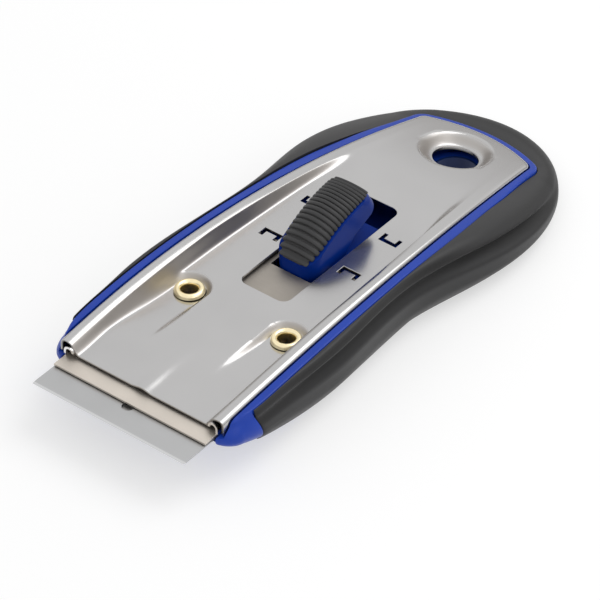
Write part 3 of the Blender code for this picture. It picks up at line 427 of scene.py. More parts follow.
class Value:
    """Output socket that takes part in Python expressions; an expression adds its Math nodes."""

    def __init__(self, tree, socket):
        self.tree = tree
        self.socket = socket

    def math(self, operation, first, second):
        return self.tree.node("ShaderNodeMath", {"operation": operation}, {0: first, 1: second})

    def __add__(self, other):
        return self.math("ADD", self, other)

    def __radd__(self, other):
        return self.math("ADD", other, self)

    def __sub__(self, other):
        return self.math("SUBTRACT", self, other)

    def __rsub__(self, other):
        return self.math("SUBTRACT", other, self)

    def __mul__(self, other):
        return self.math("MULTIPLY", self, other)

    def __rmul__(self, other):
        return self.math("MULTIPLY", other, self)

    def __truediv__(self, other):
        return self.math("DIVIDE", self, other)

    def __pow__(self, other):
        return self.math("POWER", self, other)

    def below(self, other):
        return self.math("LESS_THAN", self, other)

    def highest(self, other):
        return self.math("MAXIMUM", self, other)

    def lowest(self, other):
        return self.math("MINIMUM", self, other)


class NodeBook:
    """Node tree that is written by one method."""

    def __init__(self, tree):
        self.tree = tree

    def node(self, kind, settings=None, sockets=None, output=0):
        """New node: its settings first, then the values or links of its sockets."""
        node = self.tree.nodes.new(kind)
        for key, value in (settings or {}).items():
            setattr(node, key, value)
        for key, value in (sockets or {}).items():
            self.feed(node.inputs[key], value)
        return Value(self, node.outputs[output])

    def feed(self, socket, value):
        """Link or plain value of one socket."""
        if isinstance(value, Value):
            self.tree.links.new(value.socket, socket)
        else:
            socket.default_value = value


class Finish(NodeBook):
    """Material with one Principled shader."""

    def __init__(self, name):
        self.material = bpy.data.materials.new(name)
        self.material.use_nodes = True
        super().__init__(self.material.node_tree)
        self.shader = self.tree.nodes["Principled BSDF"]
        self.place = self.node("ShaderNodeTexCoord", output="Object")

    def set(self, **sockets):
        """Values or links of the shader, named with underscores for spaces."""
        for name, value in sockets.items():
            self.feed(self.shader.inputs[name.replace("_", " ")], value)

    def cover(self, shader):
        """Let another shader's output be the surface."""
        self.feed(self.tree.nodes["Material Output"].inputs["Surface"], shader)

    def axis(self, name):
        """One coordinate of the object's own space."""
        return self.node("ShaderNodeSeparateXYZ", None, {"Vector": self.place}, output=name)

    def noise(self, scale, detail=3.0, stretch=(1.0, 1.0, 1.0)):
        """Noise in the object's own space; stretch packs it along an axis."""
        vector = self.node("ShaderNodeMapping", None, {"Vector": self.place, "Scale": stretch})
        return self.node("ShaderNodeTexNoise", None, {"Vector": vector, "Scale": scale, "Detail": detail})

    def blend(self, factor, first, second):
        """Mix of two colours."""
        sockets = {0: factor, 6: first, 7: second}
        return self.node("ShaderNodeMix", {"data_type": "RGBA"}, sockets, output=2)

    def mottle(self, mask, base, dark, light):
        """Colour that goes from a dark to a light share of its base."""
        return self.blend(mask, shaded(base, dark), shaded(base, light))

    def attribute(self, name):
        """Value stored on the piece's own vertices."""
        return self.node("ShaderNodeAttribute", {"attribute_name": name}, None, output="Fac")

    def bump(self, height, depth, amount):
        """Relief of the surface."""
        sockets = {"Height": height, "Distance": depth, "Strength": amount}
        return self.node("ShaderNodeBump", None, sockets)


def tinted(base, *tint):
    """Colour times a tint, with its alpha."""
    return tuple(min(1.0, part * share) for part, share in zip(base, tint)) + (1.0,)


def shaded(base, share):
    """Colour made lighter or darker, with its alpha."""
    return tinted(base, share, share, share)


def pressed_steel(base):
    """Bright rolled sheet: long fine grain, soft smudges, duller on the drawn walls, where painted shade,
    partly burnish, makes it darker and browner; the underside is painted nearly black as shade.
    """
    finish = Finish("pressed_steel")
    smudge = finish.noise(scale=70.0, detail=4.0)
    grain = finish.noise(scale=900.0, detail=3.0, stretch=(3.0, 0.12, 1.0))
    speck = finish.noise(scale=5200.0, detail=2.0)
    drawn = finish.attribute("drawn")
    clean = finish.mottle(smudge, base, dark=0.93, light=1.05)
    # Painted shade, partly burnish: the steep drawn walls are tinted darker and browner.
    burnt_and_shaded = tinted(base, 0.85, 0.81, 0.77)
    # Painted shade: the sheet's underside, seen in the bead's mouth, is painted nearly black.
    underside_shade = tinted(base, 0.16, 0.15, 0.14)
    bright = finish.blend(drawn, clean, burnt_and_shaded)
    finish.set(Base_Color=finish.blend(finish.attribute("inside"), bright, underside_shade), Metallic=1.0)
    least, by_smudge, by_grain, by_drawing = 0.16, 0.07, 0.04, 0.20
    finish.set(Roughness=least + by_smudge * smudge + by_grain * grain + by_drawing * drawn)
    grain_share, speck_share = 0.6, 0.4
    finish.set(Normal=finish.bump(grain * grain_share + speck * speck_share, depth=0.00002, amount=0.12))
    return finish.material


def eyelet_brass(base):
    """Bright turned brass with faint tarnish."""
    finish = Finish("eyelet_brass")
    tarnish = finish.noise(scale=900.0, detail=4.0)
    finish.set(Base_Color=finish.mottle(tarnish, base, dark=0.88, light=1.12), Metallic=1.0)
    least, by_tarnish = 0.18, 0.14
    finish.set(Roughness=least + by_tarnish * tarnish)
    finish.set(Normal=finish.bump(finish.noise(scale=4000.0), depth=0.00002, amount=0.2))
    return finish.material


def moulded_blue(name, base, gloss, shine, bore=None):
    """Satin moulding with a fine spark-eroded texture, paler worn spots and painted shade inside a bore.

    bore is the (x, y, radius) of an upright bore whose inside is painted darker and browner as shade, if
    there is one.
    """
    finish = Finish(name)
    rub = finish.noise(scale=160.0, detail=3.0)
    spark = finish.noise(scale=5200.0, detail=2.0)
    tone = finish.mottle(rub, base, dark=0.88, light=1.14)
    if bore:
        x, y, radius = bore
        flat = finish.node(
            "ShaderNodeVectorMath", {"operation": "MULTIPLY"}, {0: finish.place, 1: (1.0, 1.0, 0.0)}
        )
        reach = finish.node(
            "ShaderNodeVectorMath", {"operation": "DISTANCE"}, {0: flat, 1: (x, y, 0.0)}, output="Value"
        )
        # Painted shade: inside the bore the colour is darker and browner.
        tone = finish.blend(reach.below(radius), tone, tinted(base, 1.2, 0.62, 0.34))
    by_rub, by_spark = 0.10, 0.08
    finish.set(Base_Color=tone)
    finish.set(Roughness=gloss + by_rub * rub + by_spark * spark, Specular_IOR_Level=shine)
    finish.set(Normal=finish.bump(spark, depth=0.00003, amount=0.25))
    return finish.material


def soft_charcoal(name, base):
    """Soft overmould: matt, finely pebbled, with a paler dusty bloom, and the painted shade and painted
    highlights stored on its vertices.
    """
    finish = Finish(name)
    bloom = finish.noise(scale=130.0, detail=4.0)
    pebble = finish.noise(scale=4200.0, detail=2.0)
    dust_and_painted_light = finish.attribute("dust_and_painted_light")
    # Painted light: the stored value darkens the groove as shade and lightens the lips and ledge as
    # highlights, on top of an even dustiness.
    dust_and_light_share, bloom_share = 0.8, 0.2
    tone = dust_and_painted_light * dust_and_light_share + bloom * bloom_share
    finish.set(Base_Color=finish.mottle(tone, base, dark=0.15, light=2.1))
    least, by_bloom, by_pebble, by_dust_and_light = 0.55, 0.12, 0.08, 0.28
    rough = least + by_bloom * bloom + by_pebble * pebble - by_dust_and_light * dust_and_painted_light
    finish.set(Roughness=rough, Specular_IOR_Level=0.34, Sheen_Weight=0.11, Sheen_Roughness=0.4)
    finish.set(Normal=finish.bump(pebble, depth=0.00004, amount=0.35))
    return finish.material


def carrier_sheet(base):
    """Plain warm sheet steel with rolling lines across the tool, painted darker behind its lip as shade where
    it runs under the plate.
    """
    finish = Finish("carrier_sheet")
    lines = finish.noise(scale=700.0, detail=3.0, stretch=(0.15, 3.0, 1.0))
    stain = finish.noise(scale=120.0, detail=3.0)
    # Painted shade: behind its lip, where the sheet runs under the plate, its colour is darkened.
    behind = ((finish.axis("Y") - DATUM.y) / SHADE_RAMP_LENGTH).highest(0.0).lowest(1.0)
    lip_tone = finish.mottle(stain, base, dark=0.90, light=1.08)
    shaded_behind = finish.mottle(stain, base, dark=0.43, light=0.69)
    finish.set(Base_Color=finish.blend(behind, lip_tone, shaded_behind), Metallic=1.0)
    least, by_lines, by_stain = 0.40, 0.10, 0.06
    finish.set(Roughness=least + by_lines * lines + by_stain * stain)
    finish.set(Normal=finish.bump(lines, depth=0.00002, amount=0.2))
    return finish.material


def ground_blade(base):
    """Cool ground steel with grinding lines along the blade and a painted highlight along its edge."""
    finish = Finish("ground_blade")
    lines = finish.noise(scale=900.0, detail=3.0, stretch=(0.08, 4.0, 1.0))
    haze = finish.noise(scale=90.0, detail=3.0)
    # Painted highlight: a strip along the blade's edge is painted brighter.
    edge_strip = finish.axis("Y").below(BLADE_LOW.y + EDGE_GLINT_WIDTH)
    ground = finish.mottle(haze, base, dark=0.94, light=1.06)
    finish.set(Base_Color=finish.blend(edge_strip, ground, shaded(base, 1.3)), Metallic=1.0)
    least, by_lines, by_haze = 0.34, 0.10, 0.05
    finish.set(Roughness=least + by_lines * lines + by_haze * haze)
    finish.set(Normal=finish.bump(lines, depth=0.00002, amount=0.2))
    return finish.material


def plain_steel(name, base, gloss):
    """Zinc-grey steel with a faint spangle."""
    finish = Finish(name)
    spangle = finish.noise(scale=500.0, detail=4.0)
    finish.set(Base_Color=finish.mottle(spangle, base, dark=0.85, light=1.10), Metallic=1.0)
    by_spangle = 0.14
    finish.set(Roughness=gloss + by_spangle * spangle)
    return finish.material


def clamp(value):
    """Value held between 0 and 1."""
    return min(max(value, 0.0), 1.0)


def mix(start, end, share):
    """Straight blend between two values."""
    return start + (end - start) * share


def smooth_step(value):
    """Ease from 0 to 1."""
    value = clamp(value)
    return value * value * (3 - 2 * value)


def ease(start, end, share):
    """Cosine blend between two values, which stays at them past either end."""
    return mix(start, end, (1 - math.cos(math.pi * clamp(share))) / 2)


def eased(stations, y):
    """Value that eases from station to station, each a (y, value)."""
    for (start, first), (end, second) in zip(stations, stations[1:]):
        if y <= end:
            return ease(first, second, (y - start) / (end - start))
    return stations[-1][1]


def spread(start, end, count):
    """Evenly spaced values after start, up to end."""
    return [start + (end - start) * step / count for step in range(1, count + 1)]


def evenly(start, end, count):
    """Evenly spaced values, both ends included."""
    return [start] + spread(start, end, count)


def arch(plate, y):
    """Height of the arched shoulders over the channel floor."""
    return ARCH_HEIGHT - (y - plate.arch_crest) ** 2 / (2 * plate.arch_radius)


def rim_top(plate, y):
    """Top of the tray's rim."""
    return arch(plate, y) - EDGE_DROP


def underside(y):
    """Flat underside that sweeps up to the chin under the blade."""
    return CHIN_RISE * max(0.0, 1 - y / CHIN_LENGTH) ** CHIN_POWER - DATUM.z


def plate_half(plate, y):
    """Half width of the plate: each side is one long arc."""
    return plate.half - (y - WIDEST_Y) ** 2 / (2 * SIDE_RADIUS)


def core_rear(plate, x):
    """Rear edge of the plate drawn in by its corner radius."""
    return plate.reach - PLATE_CORNER - x * x / (2 * REAR_RADIUS)


def core_corner(plate):
    """Corner of the plate's outline drawn in by its corner radius."""
    x, y = 0.0, core_rear(plate, 0.0)
    for _ in range(CORNER_ROUNDS):
        x = plate_half(plate, y) - PLATE_CORNER
        y = core_rear(plate, x)
    return x, y


def rear_normal(x):
    """Angle of the outward normal on the rear edge."""
    return math.atan2(1.0, x / REAR_RADIUS)


def corner_angles(plate):
    """Directions that fan out round a rear corner, from sideways to the rear edge's."""
    return evenly(0.0, rear_normal(core_corner(plate)[0]), FAN_STEPS)


def rear_path(plate, offset):
    """Right half of the outline's rear: corner fan and rear edge as (x, y, normal x, normal y)."""
    corner_x, corner_y = core_corner(plate)
    turns = [(corner_x, corner_y, turn) for turn in corner_angles(plate)]
    for x in spread(corner_x, 0.0, REAR_STEPS):
        turns.append((x, core_rear(plate, x), rear_normal(x)))
    points = []
    for x, y, turn in turns:
        across, along = math.cos(turn), math.sin(turn)
        reach = PLATE_CORNER + offset
        points.append((x + reach * across, y + reach * along, across, along))
    return points


def side_path(plate, offset, stations):
    """Right side of the outline at the given stations."""
    return [(plate_half(plate, y) + offset, y, 1.0, 0.0) for y in stations]


def half_path(plate, offset, front):
    """Right half of the plate's outline, widened by offset, from front to the middle of the rear."""
    corner_y = core_corner(plate)[1]
    stations = evenly(front, corner_y, SIDE_STEPS)[:-1]
    return side_path(plate, offset, stations) + rear_path(plate, offset)


def circle(x, y, radius):
    """Closed round outline."""
    turns = [2 * math.pi * step / ROUND_STEPS for step in range(ROUND_STEPS)]
    return [(x + radius * math.cos(turn), y + radius * math.sin(turn)) for turn in turns]


def arc(x, y, radius, start, end, steps):
    """Open arc between two angles, ends included."""
    turns = evenly(start, end, steps)
    return [(x + radius * math.cos(turn), y + radius * math.sin(turn)) for turn in turns]


def rounded_rectangle(half, front, rear, radius):
    """Closed outline with four round corners."""
    outline = arc(half - radius, rear - radius, radius, 0, QUARTER, CORNER_STEPS)
    outline += arc(radius - half, rear - radius, radius, QUARTER, 2 * QUARTER, CORNER_STEPS)
    outline += arc(radius - half, front + radius, radius, 2 * QUARTER, 3 * QUARTER, CORNER_STEPS)
    return outline + arc(half - radius, front + radius, radius, 3 * QUARTER, 4 * QUARTER, CORNER_STEPS)


def bridge(shape, first, second):
    """Wall of quads between two rings of equal length."""
    for i in range(len(first)):
        after = (i + 1) % len(first)
        shape.faces.new((first[i], first[after], second[after], second[i]))


def skin(shape, rings):
    """Walls between rings in turn, with both ends closed."""
    for first, second in zip(rings, rings[1:]):
        bridge(shape, first, second)
    shape.faces.new(rings[0])
    shape.faces.new(rings[-1])


def lathe(shape, profile):
    """Solid of revolution about the upright axis from a closed (radius, z) profile."""
    rings = []
    for x, y in circle(0.0, 0.0, 1.0):
        rings.append([shape.verts.new((r * x, r * y, z)) for r, z in profile])
    for i, ring in enumerate(rings):
        bridge(shape, ring, rings[(i + 1) % len(rings)])


def prism(shape, *levels):
    """Upright solid through closed outlines at rising levels, given as (outline, z) pairs."""
    skin(shape, [[shape.verts.new((x, y, z)) for x, y in outline] for outline, z in levels])


def box(shape, x, y, z):
    """Box given by its (low, high) pairs."""
    outline = [(x[0], y[0]), (x[1], y[0]), (x[1], y[1]), (x[0], y[1])]
    prism(shape, (outline, z[0]), (outline, z[1]))


def quad(shape, *corners):
    """Face that drops corners which fall together."""
    kept = list(dict.fromkeys(corners))
    if len(kept) > 2:
        shape.faces.new(kept)


def symmetric_solid(shape, path, section):
    """Closed solid between a path's right side and its mirror image.

    section(point) gives the (outward distance, z) profile from the top down at a point of the path.
    """
    rows = []
    for point in path:
        x, y, across, along = point[:4]
        right, left = [], []
        for out, z in section(point):
            corner = (x + across * out, y + along * out, z)
            right.append(shape.verts.new(corner))
            on_middle = abs(corner[0]) < TINY
            left.append(right[-1] if on_middle else shape.verts.new((-corner[0], corner[1], z)))
        rows.append((right, left))
    for (right, left), (next_right, next_left) in zip(rows, rows[1:]):
        quad(shape, right[0], next_right[0], next_left[0], left[0])
        quad(shape, right[-1], next_right[-1], next_left[-1], left[-1])
        for i in range(len(right) - 1):
            quad(shape, right[i], right[i + 1], next_right[i + 1], next_right[i])
            quad(shape, left[i], left[i + 1], next_left[i + 1], next_left[i])
    for right, left in (rows[0], rows[-1]):
        for i in range(len(right) - 1):
            quad(shape, right[i], right[i + 1], left[i + 1], left[i])


def flat_walled(low, high):
    """Section with upright walls between two heights that bend along y only."""
    return lambda point: [(0.0, high(point[1])), (0.0, low(point[1]))]


def to_object(name, shape, material=None, place=DATUM):
    """Mesh object at the origin, with its place in its vertices and its normals facing out."""
    bmesh.ops.translate(shape, verts=shape.verts, vec=place)
    bmesh.ops.recalc_face_normals(shape, faces=shape.faces)
    mesh = bpy.data.meshes.new(name)
    shape.to_mesh(mesh)
    shape.free()
    item = bpy.data.objects.new(name, mesh)
    bpy.context.scene.collection.objects.link(item)
    if material:
        mesh.materials.append(material)
    return item


def settle(item):
    """Turn an object's modifiers into its plain mesh."""
    graph = bpy.context.evaluated_depsgraph_get()
    mesh = bpy.data.meshes.new_from_object(item.evaluated_get(graph))
    item.modifiers.clear()
    old = item.data
    item.data = mesh
    bpy.data.meshes.remove(old)


def carve(item, shape, operation):
    """Boolean with a helper solid, which is removed afterwards."""
    helper = to_object("helper", shape)
    modifier = item.modifiers.new(operation.title(), "BOOLEAN")
    modifier.operation = operation
    modifier.solver = "MANIFOLD"
    modifier.object = helper
    settle(item)
    bpy.data.objects.remove(helper, do_unlink=True)
    if not item.data.polygons:
        raise RuntimeError(f"{item.name} came out empty")


def smooth(item):
    """Smooth shading with crisp edges where the surface turns sharply."""
    item.data.polygons.foreach_set("use_smooth", [True] * len(item.data.polygons))
    item.data.set_sharp_from_angle(angle=SMOOTH_ANGLE)


def fit(item, body, slot, *nodes):
    """Let a finished piece ride on its body in place of its CAD nodes."""
    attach(item, body)
    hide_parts(*nodes)


def channel_foot(plate, y):
    """Foot of the channel's wall: nearly parallel beside the beads, drawn in and round behind the slot."""
    share = max(0.0, y) / CHANNEL_END_Y
    turned = CHANNEL_TURN * smooth_step((y - CHANNEL_TURN_START) / CHANNEL_TURN_LENGTH)
    return plate.half - plate.bead - CHANNEL_NARROWING * share ** CHANNEL_POWER - turned


def wall_run(plate, y):
    """Width of the channel's wall, which fans out at the rear and ends inside the rolled edge."""
    room = plate_half(plate, y) - PLATE_CORNER - channel_foot(plate, y)
    fan = WALL_FAN * (max(0.0, y) / CHANNEL_END_Y) ** WALL_FAN_POWER
    return min(plate.wall_run + fan, room - WALL_LAG / 2)


def channel_wall(plate, x, y, lag=0.0):
    """0 on the channel floor, 1 on the shoulder beside it; lag moves the wall outwards."""
    share = (abs(x) - channel_foot(plate, y) - lag) / wall_run(plate, y)
    power = ease(FRONT_WALL_POWER, WALL_POWER, y / FRONT_WALL_LENGTH)
    return smooth_step(clamp(share) ** power)


def pocket_drop(plate, x, y):
    """Drop of the pocket round an eyelet: deepest at its round rear wall, running out forwards."""
    distance = math.hypot(abs(x) - EYELET_X, max(0.0, y - EYELET_Y))
    inside = smooth_step((POCKET_HALF - distance) / POCKET_WALL + 0.5)
    run_out = smooth_step((y - POCKET_TIP_Y) / (EYELET_Y - POCKET_TIP_Y))
    return plate.pocket_depth * inside * run_out


def rib_rise(plate, x, y):
    """Stiffening rib on the front edge."""
    across = smooth_step(1 - abs(x) / RIB_HALF)
    return plate.rib_height * across * smooth_step((RIB_LENGTH - y) / RIB_LENGTH)


def dish_drop(plate, x, y):
    """Drop of the dished ring round the hang hole."""
    radius = math.hypot(x, y - plate.reach + HANG_SETBACK)
    inner = plate.hang_radius + DISH_FLAT
    return plate.dish_depth * smooth_step((DISH_RADIUS - radius) / (DISH_RADIUS - inner))


def front_share(y):
    """1 on the plate's front edge, 0 where the channel floor has reached its level."""
    return smooth_step(1 - (y - PLATE_FRONT) / FRONT_DIP_LENGTH)


def front_drop(y):
    """Drop of the channel floor towards its front edge, whose upper corner is rounded."""
    short = max(0.0, FRONT_ROLL - (y - PLATE_FRONT))
    return FRONT_DIP * front_share(y) + FRONT_ROLL - math.sqrt(max(0.0, FRONT_ROLL ** 2 - short ** 2))


def bead_fall(y, inside):
    """Fall of the bead's rounded top at a distance inside its crest."""
    fade = 1 - smooth_step((y - BEAD_FADE_START) / BEAD_FADE_LENGTH)
    return BEAD_CURVE * max(0.0, inside) ** 2 * fade


def plate_top(plate, x, y, lag=0.0):
    """Upper surface of the plate inside its rolled edge, or with a lag the shape of its lower surface."""
    crest = arch(plate, y)
    floor = (crest - math.hypot(crest, CHANNEL_BLEND)) / 2
    wall = channel_wall(plate, x, y, lag)
    rise = crest - floor - bead_fall(y, plate_half(plate, y) - roll_size(y)[0] - abs(x))
    pressed = rib_rise(plate, x, y) - pocket_drop(plate, x, y) - front_drop(y)
    return floor + rise * wall + pressed * (1 - wall) - dish_drop(plate, x, y)


def drawn_share(plate, x, y):
    """How far the sheet was drawn at a point: 1 on a steep pressed wall, 0 on flat sheet."""
    y = max(y, PLATE_FRONT + FRONT_ROLL + PROBE)
    across = plate_top(plate, x + PROBE, y) - plate_top(plate, x - PROBE, y)
    along = plate_top(plate, x, y + PROBE) - plate_top(plate, x, y - PROBE)
    return smooth_step(math.hypot(across, along) / (2 * PROBE) - DRAWN_SLOPE)


def plate_rows(plate):
    """Stations of the plate's grid along y, closer where the pressing has detail."""
    pocket_rear = EYELET_Y + POCKET_HALF + POCKET_WALL
    dish_front = plate.reach - HANG_SETBACK - DISH_RADIUS
    rows = [PLATE_FRONT]
    rows += [PLATE_FRONT + FRONT_ROLL * (1 - math.cos(turn)) for turn in spread(0.0, QUARTER, FRONT_ROWS)]
    rows += spread(rows[-1], POCKET_TIP_Y, RIB_ROWS) + spread(POCKET_TIP_Y, EYELET_Y, POCKET_ROWS)
    rows += spread(EYELET_Y, pocket_rear, POCKET_REAR_ROWS) + spread(pocket_rear, dish_front, SLOT_ROWS)
    return rows + spread(dish_front, core_corner(plate)[1], DISH_ROWS)


def plate_columns(plate, y):
    """Stations across the plate at y: channel floor, wall and shoulder, both sides."""
    foot = channel_foot(plate, y)
    crown = foot + wall_run(plate, y)
    columns = evenly(0.0, foot, FLOOR_COLUMNS)
    columns += [mix(foot, crown, share ** WALL_CROWDING) for share in spread(0.0, 1.0, WALL_COLUMNS)]
    columns += spread(crown, plate_half(plate, y) - PLATE_CORNER, SHOULDER_COLUMNS)
    return [-x for x in reversed(columns[1:])] + columns


def plate_grid(shape, plate, lag, below):
    """Grid of one of the plate's surfaces, with its last rows bowed along the rear edge."""
    rows = plate_rows(plate)
    bow_start = plate.reach - HANG_SETBACK - DISH_RADIUS
    grid = []
    for base in rows:
        bow = max(0.0, (base - bow_start) / (rows[-1] - bow_start))
        row = []
        for x in plate_columns(plate, base):
            y = base + bow * bow * (core_rear(plate, x) - rows[-1])
            thin = min(below, FRONT_THINNING) * front_share(y)
            row.append(shape.verts.new((x, y, plate_top(plate, x, y, lag) - below + thin)))
        grid.append(row)
    for lower, upper in zip(grid, grid[1:]):
        for i in range(len(lower) - 1):
            shape.faces.new((lower[i], lower[i + 1], upper[i + 1], upper[i]))
    return grid


def plate_border(plate, grid):
    """Grid vertices along the right, rear and left edge, each with its outward direction."""
    fan = corner_angles(plate)
    border = [(row[-1], 0.0) for row in grid[:-1]]
    border += [(grid[-1][-1], turn) for turn in fan]
    border += [(vertex, rear_normal(vertex.co.x)) for vertex in reversed(grid[-1][1:-1])]
    border += [(grid[-1][0], math.pi - turn) for turn in reversed(fan)]
    return border + [(row[0], math.pi) for row in reversed(grid[:-1])]


def roll_size(y):
    """Width and depth of the rolled edge, which is widest beside the beads."""
    fade = smooth_step((y - ROLL_FADE_START) / ROLL_FADE_LENGTH)
    return mix(ROLL_WIDTH, ROLL_REAR, fade), mix(ROLL_DROP, ROLL_REAR, fade)


def roll_drop(plate, x, y):
    """Drop of the rolled edge at a point within the plate's outline."""
    width, depth = roll_size(y)
    share = clamp(1 - (plate_half(plate, y) - abs(x)) / width)
    return depth * (1 - (1 - share ** (2 / ROLL_SHARPNESS)) ** (ROLL_SHARPNESS / 2))


def edge_loops(y, sheet):
    """(offset, drop) steps of the bead's crest, the rolled edge and the skirt at y."""
    width, depth = roll_size(y)
    flat = PLATE_CORNER - width
    rise = bead_fall(y, flat)
    loops = [(offset, bead_fall(y, flat - offset) - rise) for offset in spread(0.0, flat, CREST_STEPS)]
    for turn in spread(0.0, QUARTER, ROLL_STEPS):
        across = math.sin(turn) ** ROLL_SHARPNESS
        down = 1 - abs(math.cos(turn)) ** ROLL_SHARPNESS
        loops.append((flat + (width - sheet) * across, (depth - sheet) * down - rise))
    return loops + [(PLATE_CORNER - sheet, SKIRT_DEPTH - sheet - rise)]


def plate_skirt(shape, plate, border, sheet):
    """Rings of the rolled edge and the skirt round the sides and rear, drawn in by the sheet's thickness."""
    rings = [[] for _ in edge_loops(0.0, sheet)]
    for vertex, turn in border:
        for ring, (offset, drop) in zip(rings, edge_loops(vertex.co.y, sheet)):
            x = vertex.co.x + offset * math.cos(turn)
            y = vertex.co.y + offset * math.sin(turn)
            fall = arch(plate, vertex.co.y) - arch(plate, y)
            ring.append(shape.verts.new((x, y, vertex.co.z - fall - drop)))
    previous = [vertex for vertex, turn in border]
    for ring in rings:
        for i in range(len(border) - 1):
            quad(shape, previous[i], previous[i + 1], ring[i + 1], ring[i])
        previous = ring
    return rings


def plate_solid(plate):
    """Closed sheet: upper and lower surface, each with its skirt, joined along the free edge."""
    shape = bmesh.new()
    edges = []
    for lag, sheet in ((0.0, 0.0), (WALL_LAG, plate.sheet)):
        grid = plate_grid(shape, plate, lag, sheet)
        rings = plate_skirt(shape, plate, plate_border(plate, grid), sheet)
        left = [ring[-1] for ring in reversed(rings)]
        right = [ring[0] for ring in rings]
        edges.append(left + grid[0] + right + rings[-1][1:-1])
    bridge(shape, *edges)
    return shape


def slit_outline(side, bar_y, arm, grow):
    """U-shaped slit that frees a tongue of the plate."""
    near = bar_y - arm * (SLIT_WIDTH / 2 + grow)
    web = bar_y + arm * (SLIT_WIDTH / 2 + grow)
    tip = bar_y + arm * (SLIT_ARM - SLIT_WIDTH / 2 + grow)
    inner, outer = SLIT_INNER - grow, SLIT_OUTER + grow
    leg = SLIT_WIDTH + 2 * grow
    outline = [(inner, near), (outer, near), (outer, tip), (outer - leg, tip)]
    outline += [(outer - leg, web), (inner + leg, web), (inner + leg, tip), (inner, tip)]
    return [(side * x, y) for x, y in outline]


def flared_cut(shape, outline):
    """Cut through the channel floor with a small chamfer; outline(grow) is a closed outline."""
    narrow, wide = outline(0.0), outline(2 * CUT_CHAMFER)
    prism(shape, (narrow, -DATUM.z), (narrow, -CUT_CHAMFER), (wide, CUT_CHAMFER), (wide, ARCH_HEIGHT))


def plate_cuts(plate, eyelet):
    """Slot, lock slits, eyelet holes and hang hole."""
    cuts = bmesh.new()
    slot_rear = plate.slot_front + plate.slot_length
    flared_cut(cuts, lambda grow: rounded_rectangle(
        plate.slot_half + grow, plate.slot_front - grow, slot_rear + grow, SLOT_CORNER + grow
    ))
    hole = eyelet.bore + EYELET_WALL + EYELET_FIT
    for side in (-1, 1):
        flared_cut(cuts, lambda grow: slit_outline(side, SLIT_FRONT_Y, -1, grow))
        flared_cut(cuts, lambda grow: slit_outline(side, SLIT_FRONT_Y + SLIT_SPACING, 1, grow))
        outline = circle(side * EYELET_X, EYELET_Y, hole)
        prism(cuts, (outline, -DATUM.z), (outline, ARCH_HEIGHT))
    outline = circle(0.0, plate.reach - HANG_SETBACK, plate.hang_radius)
    prism(cuts, (outline, -DATUM.z), (outline, ARCH_HEIGHT))
    return cuts


class SCRAPER_OT_cover_plate(bpy.types.Operator):
    """Make the pressed cover plate"""
    bl_idname = "scraper.cover_plate"
    bl_label = "Cover Plate"

    def execute(self, context):
        settings = context.scene.scraper
        plate = settings.plate
        item = to_object("pressed_cover", plate_solid(plate), pressed_steel(plate.steel))
        carve(item, plate_cuts(plate, settings.eyelet), "DIFFERENCE")
        smooth(item)
        # drawn marks the steep walls, which are duller and carry painted shade; inside marks the underside,
        # which is painted nearly black as shade.
        drawn = item.data.attributes.new("drawn", "FLOAT", "POINT")
        inside = item.data.attributes.new("inside", "FLOAT", "POINT")
        for vertex in item.data.vertices:
            x, y, z = vertex.co - DATUM
            drawn.data[vertex.index].value = drawn_share(plate, x, y)
            within = abs(x) < plate_half(plate, y) - plate.sheet / 2 and y < core_rear(plate, x)
            below = plate_top(plate, x, y) - roll_drop(plate, x, y) - z > plate.sheet / 2
            inside.data[vertex.index].value = float(within and below)
        fit(item, "handle", "plate_steel", "cover_plate")
        return {"FINISHED"}


